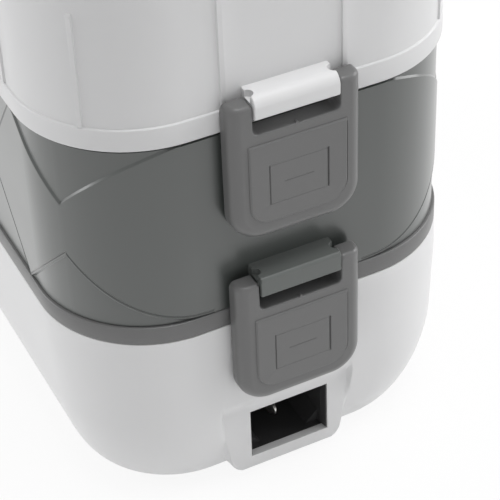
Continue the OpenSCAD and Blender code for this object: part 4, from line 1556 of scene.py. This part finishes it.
@dataclass
class LatchMaker:
    """One latch and the block that carries it, in the latch's own frame.

    In that frame x = 0 is the front of the latch's panel and z = 0 the lower edge of its cut-out. Outlines
    are seen from the front, as (y, z).
    """

    half_w: float = 18.6
    drop: float = 33.0  # from the cut-out's lower edge down to the foot
    depth: float = 6.0
    face: float = -0.6  # the front of the rim round the panel
    rim_r: float = 3.5
    foot_r: float = 9.0
    back_edge: float = 0.4  # the ears' tops fall by back_slope over this depth
    back_slope: float = 0.7
    cut_hw: float = 12.25  # the cut-out between the ears
    cut_r: float = 1.6
    cut_edge: float = 0.45
    cut_tip: float = 0.7
    axis_h: float = 6.9  # the hinge pin's middle
    axis_x: float = -3.0
    ear_top: float = 8.9
    ear_front_r: float = 1.2
    ear_corner: float = 1.5
    plate_t: float = 2.4
    hollow_hw: float = 11.0
    hook_hw: float = 9.0  # the hook behind the panel
    hook_low: float = -21.3
    hook_top: float = -19.3
    hook_back: float = -4.7
    panel_hw: float = 13.9
    panel_top: float = -2.9
    panel_low: float = -27.4
    panel_r: float = 6.0
    panel_layers: tuple = ((-1.6, 0), (-0.46, 0), (-0.40, 0.03), (-0.06, 0.36), (0, 0.5))  # x and inset
    moat_d: float = 0.3
    moat_more: float = 0.1
    moat_below: float = 0.12
    moat_shift: float = 0.14  # the moat round the panel shows on one side and below
    groove_hw: float = 8.3  # the rectangle of grooves, and the short bar inside it
    groove_low: float = -21.7
    groove_top: float = -9.9
    bar_hw: float = 4.0
    left_groove: Flat = (0.24, 0.3)  # half the width, and the depth
    right_groove: Flat = (0.3, 0.5)
    level_groove: Flat = (0.26, 0.13)
    bar_groove: Flat = (0.3, 0.2)
    nub_r: float = 0.4  # the nub on the cut-out's shelf
    nub_l: float = 1.1
    nub_back: float = 0.7
    nub_up: float = 0.05
    bore_r: float = 1.02
    bore_l: float = 36.82
    bore_shift: float = 0.8  # the bore ends blind on one side
    edge: float = 0.09
    block_gap: float = 0.3  # between the hinge block and each ear
    block_low: float = 4.8
    block_top: float = 10.8
    block_chin: tuple = ((-0.35, 0), (-0.1, 0.1), (0, 0.35))  # x and height over the block's lower face
    block_root: float = 1.54  # from the latch's back, past the seam, into the wall
    block_side: float = 0.3  # how far the block's sides are chamfered
    block_mid_x: float = -3.0
    block_bore_r: float = 1.05
    block_bore_l: float = 40.0
    block_edge: float = 0.22
    seam_hw: float = 0.12  # the fine seam down the block's middle
    seam_d: float = 0.07
    notch_r: float = 1.6  # the notches at the block's upper corners
    notch_x: float = -3.9
    notch_d: float = 2.0
    notch_l: float = 10.0

    @staticmethod
    def arc(y: float, z: float, r: float, start: float, end: float, steps: int) -> list[Flat]:
        """Points round an arc with its middle at (y, z); the angles are in degrees."""
        return [(y + r * cos(radians(a)), z + r * sin(radians(a))) for a in cut(start, end, steps)]

    def prism(self, name: str, layers: Sequence[tuple[float, list[Flat]]]) -> bpy.types.Object:
        """A solid through outlines that share a point count.

        Args:
            name: the piece's name.
            layers: each outline's x and the outline.

        Returns:
            The new object.
        """
        points = [(x, y, z) for x, outline in layers for y, z in outline]
        return add_mesh(name, points, ring_faces(len(layers), len(layers[0][1])), Finish.GREY)

    def front_view(self, x: float) -> list[Flat]:
        """The flap's outline at one depth, ears and cut-out included.

        Args:
            x: the depth.

        Returns:
            Points from the ear on the +Y side, clockwise.
        """
        outer, inner = eased(x, self.face, self.rim_r), eased(x, self.face, self.cut_edge)
        top = self.ear_top - eased(x, self.face, self.ear_front_r)
        top -= self.back_slope * max(-x - self.depth + self.back_edge, 0) / self.back_edge
        hw, low, r = self.half_w - outer, -self.drop + outer, self.foot_r - outer
        side, nook, tip = self.cut_hw + inner, self.cut_r + inner, self.cut_tip
        ear = min(self.ear_corner, (hw - side) / 2)
        marks = self.arc(hw - ear, top - ear, ear, 90, 0, 6)
        marks += self.arc(hw - r, low + r, r, 0, -90, 14)
        marks += self.arc(-hw + r, low + r, r, -90, -180, 14)
        marks += self.arc(-hw + ear, top - ear, ear, 180, 90, 6)
        marks += self.arc(-side - tip, top - tip, tip, 90, 0, 3)
        marks += self.arc(-side + nook, nook - inner, nook, 180, 270, 6)
        marks += self.arc(side - nook, nook - inner, nook, 270, 360, 6)
        marks += self.arc(side + tip, top - tip, tip, 180, 90, 3)
        return marks

    def shield(self, hw: float, low: float, top: float, r: float) -> list[Flat]:
        """An outline with square upper corners and round lower ones.

        Args:
            hw: half its width.
            low: its lower edge.
            top: its upper edge.
            r: radius of the lower corners.

        Returns:
            Its points.
        """
        right = self.arc(hw - r, low + r, r, 0, -90, 12)
        left = self.arc(-hw + r, low + r, r, -90, -180, 12)
        return [(hw, top), *right, *left, (-hw, top)]

    def panel(self) -> bpy.types.Object:
        """The raised panel, with its chamfered border.

        Returns:
            The new object.
        """
        hw, low, top, r = self.panel_hw, self.panel_low, self.panel_top, self.panel_r
        layers = [(x, self.shield(hw - e, low + e, top - e, r - e)) for x, e in self.panel_layers]
        return self.prism("panel", layers)

    def hollows(self) -> list[bpy.types.Object]:
        """Make the solids that hollow the flap out.

        Returns:
            The hollow back, the way through the foot and the moat round the panel.
        """
        t, reach, more = self.plate_t, self.depth + 1, self.moat_more
        hollow = self.shield(self.half_w - t, -self.drop + t, -t, self.foot_r - t)
        moat = self.shield(self.panel_hw + more, self.panel_low - self.moat_below, self.panel_top - 1,
                           self.panel_r + more)
        moat = [(y + self.moat_shift, z) for y, z in moat]
        return [self.prism("hollow", [(-reach, hollow), (self.face - t, hollow)]),
                solid_box("rim_way", (-reach, -self.hollow_hw, -self.drop - 1),
                          (self.hook_back, self.hollow_hw, -self.drop + t + more), 0, Finish.GREY),
                self.prism("moat", [(self.face - self.moat_d, moat), (1, moat)])]

    def flap(self, open_side: int) -> bpy.types.Object:
        """The flap: a hollow plate with two ears, a raised panel and its grooves.

        Args:
            open_side: the side that the hinge pin is pushed in from, 1 or -1.

        Returns:
            The new object.
        """
        depths = [-self.depth, -self.depth + self.back_edge / 2, -self.depth + self.back_edge]
        for r, steps in ((self.rim_r, 12), (self.cut_edge, 4)):
            depths += [self.face - r * (1 - sin(a)) for a in cut(0, pi / 2, steps)]
        depths = sorted(set(round(x, 3) for x in depths))
        flap = self.prism("flap", [(x, self.front_view(x)) for x in depths])
        panel = self.panel()
        hook = solid_box("hook", (self.hook_back, -self.hook_hw, self.hook_low),
                         (self.face - self.plate_t + 0.5, self.hook_hw, self.hook_top), 0, Finish.GREY)
        carve(flap, self.hollows())
        nub = drum("nub", Axis.X, (self.face - self.nub_back, 0, self.nub_up), self.nub_r, self.nub_l,
                   Finish.GREY, 20)
        carve(flap, [panel, hook, nub], Carving.JOIN)
        middle = (self.axis_x, open_side * self.bore_shift, self.axis_h)
        bore = drum("bore", Axis.Y, middle, self.bore_r, self.bore_l, Finish.GREY, 24)
        carve(flap, [*self.grooves(), bore])
        sharpen(flap, self.edge, 45)
        return flap

    def wedge(self, start: Flat, end: Flat, half_w: float, depth: float,
              finish: Finish = Finish.GREY) -> bpy.types.Object:
        """The cutter for a V-groove in the plane x = 0.

        Args:
            start: the groove's start, as (y, z).
            end: its end.
            half_w: half its width.
            depth: its depth.
            finish: the finish that it leaves.

        Returns:
            The cutter.
        """
        run = hypot(end[0] - start[0], end[1] - start[1])
        along = ((end[0] - start[0]) / run, (end[1] - start[1]) / run)
        over = 0.1
        wide = half_w * (1 + over / depth)
        points = []
        for u, v, x in ((-wide, -wide, over), (run + wide, -wide, over), (run + wide, wide, over),
                        (-wide, wide, over), (0, 0, -depth), (run, 0, -depth)):
            y, z = start[0] + u * along[0] - v * along[1], start[1] + u * along[1] + v * along[0]
            points.append((x, y, z))
        faces = [(0, 1, 2, 3), (1, 0, 4, 5), (2, 1, 5), (3, 2, 5, 4), (0, 3, 4)]
        return add_mesh("wedge", points, faces, finish)

    def grooves(self) -> list[bpy.types.Object]:
        """Make the cutters for the grooves on the panel.

        Returns:
            The four sides of a rectangle and a short bar inside it.
        """
        hw, low, high, bar = self.groove_hw, self.groove_low, self.groove_top, self.bar_hw
        middle = (low + high) / 2
        return [self.wedge((-hw, low), (-hw, high), *self.left_groove),
                self.wedge((hw, low), (hw, high), *self.right_groove),
                self.wedge((-hw, low), (hw, low), *self.level_groove),
                self.wedge((-hw, high), (hw, high), *self.level_groove),
                self.wedge((-bar, middle), (bar, middle), *self.bar_groove)]

    def block(self, name: str, back: float, round_r: float, finish: Finish) -> bpy.types.Object:
        """The hinge block: it grows out of the wall and rounds over between the ears.

        Args:
            name: the piece's name.
            back: how far the wall stands behind the skirt.
            round_r: radius of its upper front edge.
            finish: its finish.

        Returns:
            The new object.
        """
        hw, low, high, e = self.cut_hw - self.block_gap, self.block_low, self.block_top, self.block_side
        root, r = -self.depth - self.block_root - back, round_r
        profile = [(root, low), *((x, low + up) for x, up in self.block_chin)]
        profile += [(-r + r * cos(a), high - r + r * sin(a)) for a in cut(0, pi / 2, 10)]
        profile += [(root, high)]
        points, middle = [], (low + high) / 2
        for y, pull in ((-hw, e), (-hw + e, 0), (hw - e, 0), (hw, e)):
            for x, z in profile:
                near = pull if x > root else 0
                points.append((x - near * (x > self.block_mid_x), y, z - near * (z > middle)))
        block = add_mesh(name, points, ring_faces(4, len(profile)), finish)
        notch_z = high + (self.notch_l / 2 - self.notch_d)
        cutters = [drum("notch", Axis.Z, (self.notch_x, side * hw, notch_z), self.notch_r, self.notch_l,
                        finish) for side in (-1, 1)]
        hinge = (self.axis_x, 0, self.axis_h)
        cutters.append(drum("bore", Axis.Y, hinge, self.block_bore_r, self.block_bore_l, finish, 24))
        cutters.append(self.wedge((0, low - 1), (0, high + 1), self.seam_hw, self.seam_d, finish))
        carve(block, cutters)
        sharpen(block, self.block_edge, 50)
        return block


@dataclass
class Latches:
    """The four latches and their blocks."""

    sizes: BoxSizes
    maker: LatchMaker = field(default_factory=LatchMaker)
    lower_out: float = 0.26  # the lower latches stand this much further out from their wall
    upper_round: float = 3.0  # rounding of the blocks' upper front edges
    lower_round: float = 1.1

    @staticmethod
    def copy(master: bpy.types.Object, name: str, end: int, x: float, z: float) -> bpy.types.Object:
        """A copy of a piece with its own mesh, moved from the latch's frame to its end of the box.

        Args:
            master: the piece in the latch's frame.
            name: the copy's name.
            end: 1 for the inlet's end and -1 for the far end.
            x: the panel's front, from the middle of the box.
            z: height of the cut-out's lower edge.

        Returns:
            The copy.
        """
        piece = add_object(name, master.data.copy())
        turn = Matrix.Identity(4) if end > 0 else Matrix.Rotation(pi, 4, "Z")
        piece.data.transform(turn @ Matrix.Translation((x * MM, 0, z * MM)))
        piece.data.update()
        return piece

    def build(self) -> None:
        """Build every latch and block."""
        s, make = self.sizes, self.maker
        flaps = {side: make.flap(side) for side in (1, -1)}
        white = make.block("white_block", s.lid_step, self.upper_round, Finish.WHITE)
        # the lower blocks take the tier's plastic made lighter: painted light for the light that their
        # shaded tops lack
        grey = make.block("grey_block", s.tier_step + self.lower_out, self.lower_round, Finish.BLOCK_PAINTED_LIGHT)
        for end, word in ((1, "inlet"), (-1, "far")):
            for level, master, parent, slot in (("upper", white, "lid", Slot.WHITE),
                                                ("lower", grey, "tier", Slot.TIER)):
                low, high = node_box(f"{level}_latch_inlet_end")
                x, z = high.x, low.z + make.drop
                node = f"{level}_latch_{word}_end"
                piece = self.copy(flaps[end], f"{node}_dressed", end, x, z)
                finish_piece(piece, f"{level}_latch_{word}", node)
                block = self.copy(master, f"{level}_hinge_block_{word}_end", end, x, z)
                finish_piece(block, parent)
        for master in (*flaps.values(), white, grey):
            bpy.data.objects.remove(master)


# ---------------------------------------------------------------- handle


@dataclass
class CarryHandle:
    """The folding handle on the lid, which lies flat in its pocket at rest."""

    arm_w: float = 12.0
    arm_edge: float = 2.2
    arm_inset: float = 0.02
    arm_short: float = 4.0  # the arms end inside the grip
    grip_w: float = 14.0
    grip_edge: float = 2.6
    bore_r: float = 2.15
    voxel: float = 0.35
    kept_faces: float = 0.3

    def build(self) -> None:
        """Build the handle from its CAD box, with soft edges."""
        low, high = node_box("handle")
        mid_z, r = (low.z + high.z) / 2, (high.z - low.z) / 2
        grip = solid_box("handle_dressed", (low.x, high.y - self.grip_w, low.z), tuple(high), self.grip_edge,
                         Finish.GREY, 5)
        arms, bores = [], []
        for side in (-1, 1):
            x0, x1 = sorted((side * high.x, side * (high.x - self.arm_w)))
            arms.append(solid_box("arm", (x0, 0, low.z + self.arm_inset),
                                  (x1, high.y - self.arm_short, high.z - self.arm_inset), self.arm_edge,
                                  Finish.GREY, 4))
            hinge = ((x0 + x1) / 2, 0, mid_z)
            arms.append(drum("eye", Axis.X, hinge, r, self.arm_w, Finish.GREY))
            bores.append(drum("bore", Axis.X, hinge, self.bore_r, self.arm_w + 2, Finish.GREY))
        carve(grip, arms, Carving.JOIN)
        carve(grip, bores)
        remould(grip, self.voxel, self.kept_faces, 3)
        finish_piece(grip, "handle", "handle")


# ---------------------------------------------------------------- carried-over nodes

CARRIED = {
    Finish.STEEL: ["heating_tray", "heater_clamp", "clamp_screws", "inlet_retainer", "retainer_screw",
                   "earth_nut", "base_screws", "lower_container", "upper_container", "tier_liner",
                   "lid_liner", "handle_pins", "upper_pin_inlet_end", "upper_pin_far_end",
                   "lower_pin_inlet_end", "lower_pin_far_end"],
    Finish.ALUMINIUM: ["heat_spreader"],
    Finish.SILICONE: ["tray_gasket", "tier_seal", "lid_seal", "lower_cover_seal", "upper_cover_seal"],
    Finish.COVER: ["lower_cover", "upper_cover"],
    Finish.BLACK: ["inlet_socket", "thermostat"],
    Finish.FILM: ["ptc_element"],
    Finish.SLEEVE: ["thermal_fuse", "indicator_lamp", "link_wire"],
    Finish.BROWN: ["live_wire"],
    Finish.BLUE: ["neutral_wire"],
    Finish.GREEN: ["earth_wire"],
    Finish.LENS: ["indicator_lens"],
    Finish.RUBBER: ["rubber_feet"],
    Finish.GREY: ["vent_plug"],
}
SOFTENED = {"lower_container": 0.3, "upper_container": 0.3, "tier_liner": 0.3, "lid_liner": 0.3,
            "heating_tray": 0.3, "lower_cover": 0.5, "upper_cover": 0.5, "rubber_feet": 0.6,
            "vent_plug": 0.5}


def dress_frame() -> None:
    """Give every carried-over CAD node its material, and soften the edges of the larger ones."""
    for finish, names in CARRIED.items():
        for name in names:
            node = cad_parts[name]
            node.data.materials.clear()
            node.data.materials.append(finish.material())
            if name in SOFTENED:
                bevel(node, SOFTENED[name], 50, 2)
            log.info("%s: dressed as %s", name, finish.value.name)


# ---------------------------------------------------------------- studio


@dataclass(frozen=True)
class SoftLamp:
    """One soft square lamp, with its place, aim and size in metres."""

    name: str
    place: Point
    aim: Point
    size: float
    watts: float

    def build(self) -> None:
        """Hang the lamp."""
        data = bpy.data.lights.new(self.name, "AREA")
        data.shape = "SQUARE"
        data.size = self.size
        data.energy = self.watts
        lamp = add_object(self.name, data)
        lamp.location = self.place
        lamp.rotation_euler = (Vector(self.aim) - Vector(self.place)).to_track_quat("-Z", "Y").to_euler()


@dataclass
class Studio:
    """Camera, floor, surround and lamps."""

    eye: Point = (448.34, -169.94, 377.87)  # in millimetres, and then the camera's three directions
    forward: Point = (-0.70843787, 0.33554658, -0.62090601)
    right: Point = (0.45128642, 0.89176949, -0.03298114)
    up: Point = (-0.54263832, 0.30357154, 0.78319089)
    focal_px: float = 1812.45
    frame_px: float = 500.0
    sensor: float = 36.0
    floor_reach: float = 30000.0  # far enough to pass the edge of any view
    floor_tone: float = 0.86
    floor_roughness: float = 0.9
    floor_shown: float = 0.9  # how white the floor reads; the rest keeps the box's shadow
    sky: float = 0.44  # how strongly the surround lights the box
    mirrored: float = 0.8  # what gloss sees of the surround, which the camera sees as white
    lamps: tuple = (SoftLamp("left", (-1.1, -1.4, 0.7), (0, 0, 0.05), 1.0, 14.0),
                    SoftLamp("right", (0.3, 1.4, 0.7), (0, 0, 0.1), 1.2, 13.5),
                    SoftLamp("top", (0.3, 0.1, 1.8), (0, 0, 0.1), 0.8, 15.0))

    def camera(self) -> None:
        """Set the camera at the photograph's viewpoint."""
        data = bpy.data.cameras.new("view")
        data.sensor_width = self.sensor
        data.lens = self.focal_px / self.frame_px * self.sensor
        camera = add_object("view", data)
        turn = Matrix((self.right, self.up, tuple(-v for v in self.forward))).transposed()
        camera.matrix_world = Matrix.Translation(Vector(self.eye) * MM) @ turn.to_4x4()
        bpy.context.scene.camera = camera

    def floor(self) -> None:
        """Lay a pale floor that keeps the box's shadow and reads as white to the camera."""
        far = self.floor_reach * MM
        mesh = bpy.data.meshes.new("floor")
        corners = [(-far, -far, 0), (far, -far, 0), (far, far, 0), (-far, far, 0)]
        mesh.from_pydata(corners, [], [(0, 1, 2, 3)])
        graph = Graph.of_material("pale_floor")
        graph.feed("Base Color", (self.floor_tone,) * 3 + (1,))
        graph.feed("Roughness", self.floor_roughness)
        white = graph.node("ShaderNodeEmission", {}, {"Color": (1, 1, 1, 1), "Strength": 1.0})
        graph.show(white, self.floor_shown)
        mesh.materials.append(graph.owner)
        add_object("floor", mesh)

    def surround(self) -> None:
        """A plain surround that lights softly, is pale in gloss and shows as white."""
        graph = Graph.of_world("surround")
        graph.feed("Color", (1, 1, 1, 1))
        graph.feed("Strength", self.sky)
        strength = 1 + (1 / self.mirrored - 1) * graph.ray("Camera")
        inputs = {"Color": (self.mirrored,) * 3 + (1,), "Strength": strength}
        graph.show(graph.node("ShaderNodeBackground", {}, inputs), 1.0)
        bpy.context.scene.world = graph.owner

    def build(self) -> None:
        """Set the whole studio."""
        self.camera()
        self.floor()
        self.surround()
        for lamp in self.lamps:
            lamp.build()
        bpy.context.scene.view_settings.view_transform = "Standard"


def main() -> None:
    """Build the studio and the lunch box."""
    sizes = BoxSizes.from_frame()
    Studio().build()
    dress_frame()
    for assembly in (Base(sizes), Tier(sizes), Lid(sizes), Latches(sizes), CarryHandle()):
        assembly.build()
        log.info("%s is built", type(assembly).__name__)


if __name__ == "__main__":
    main()
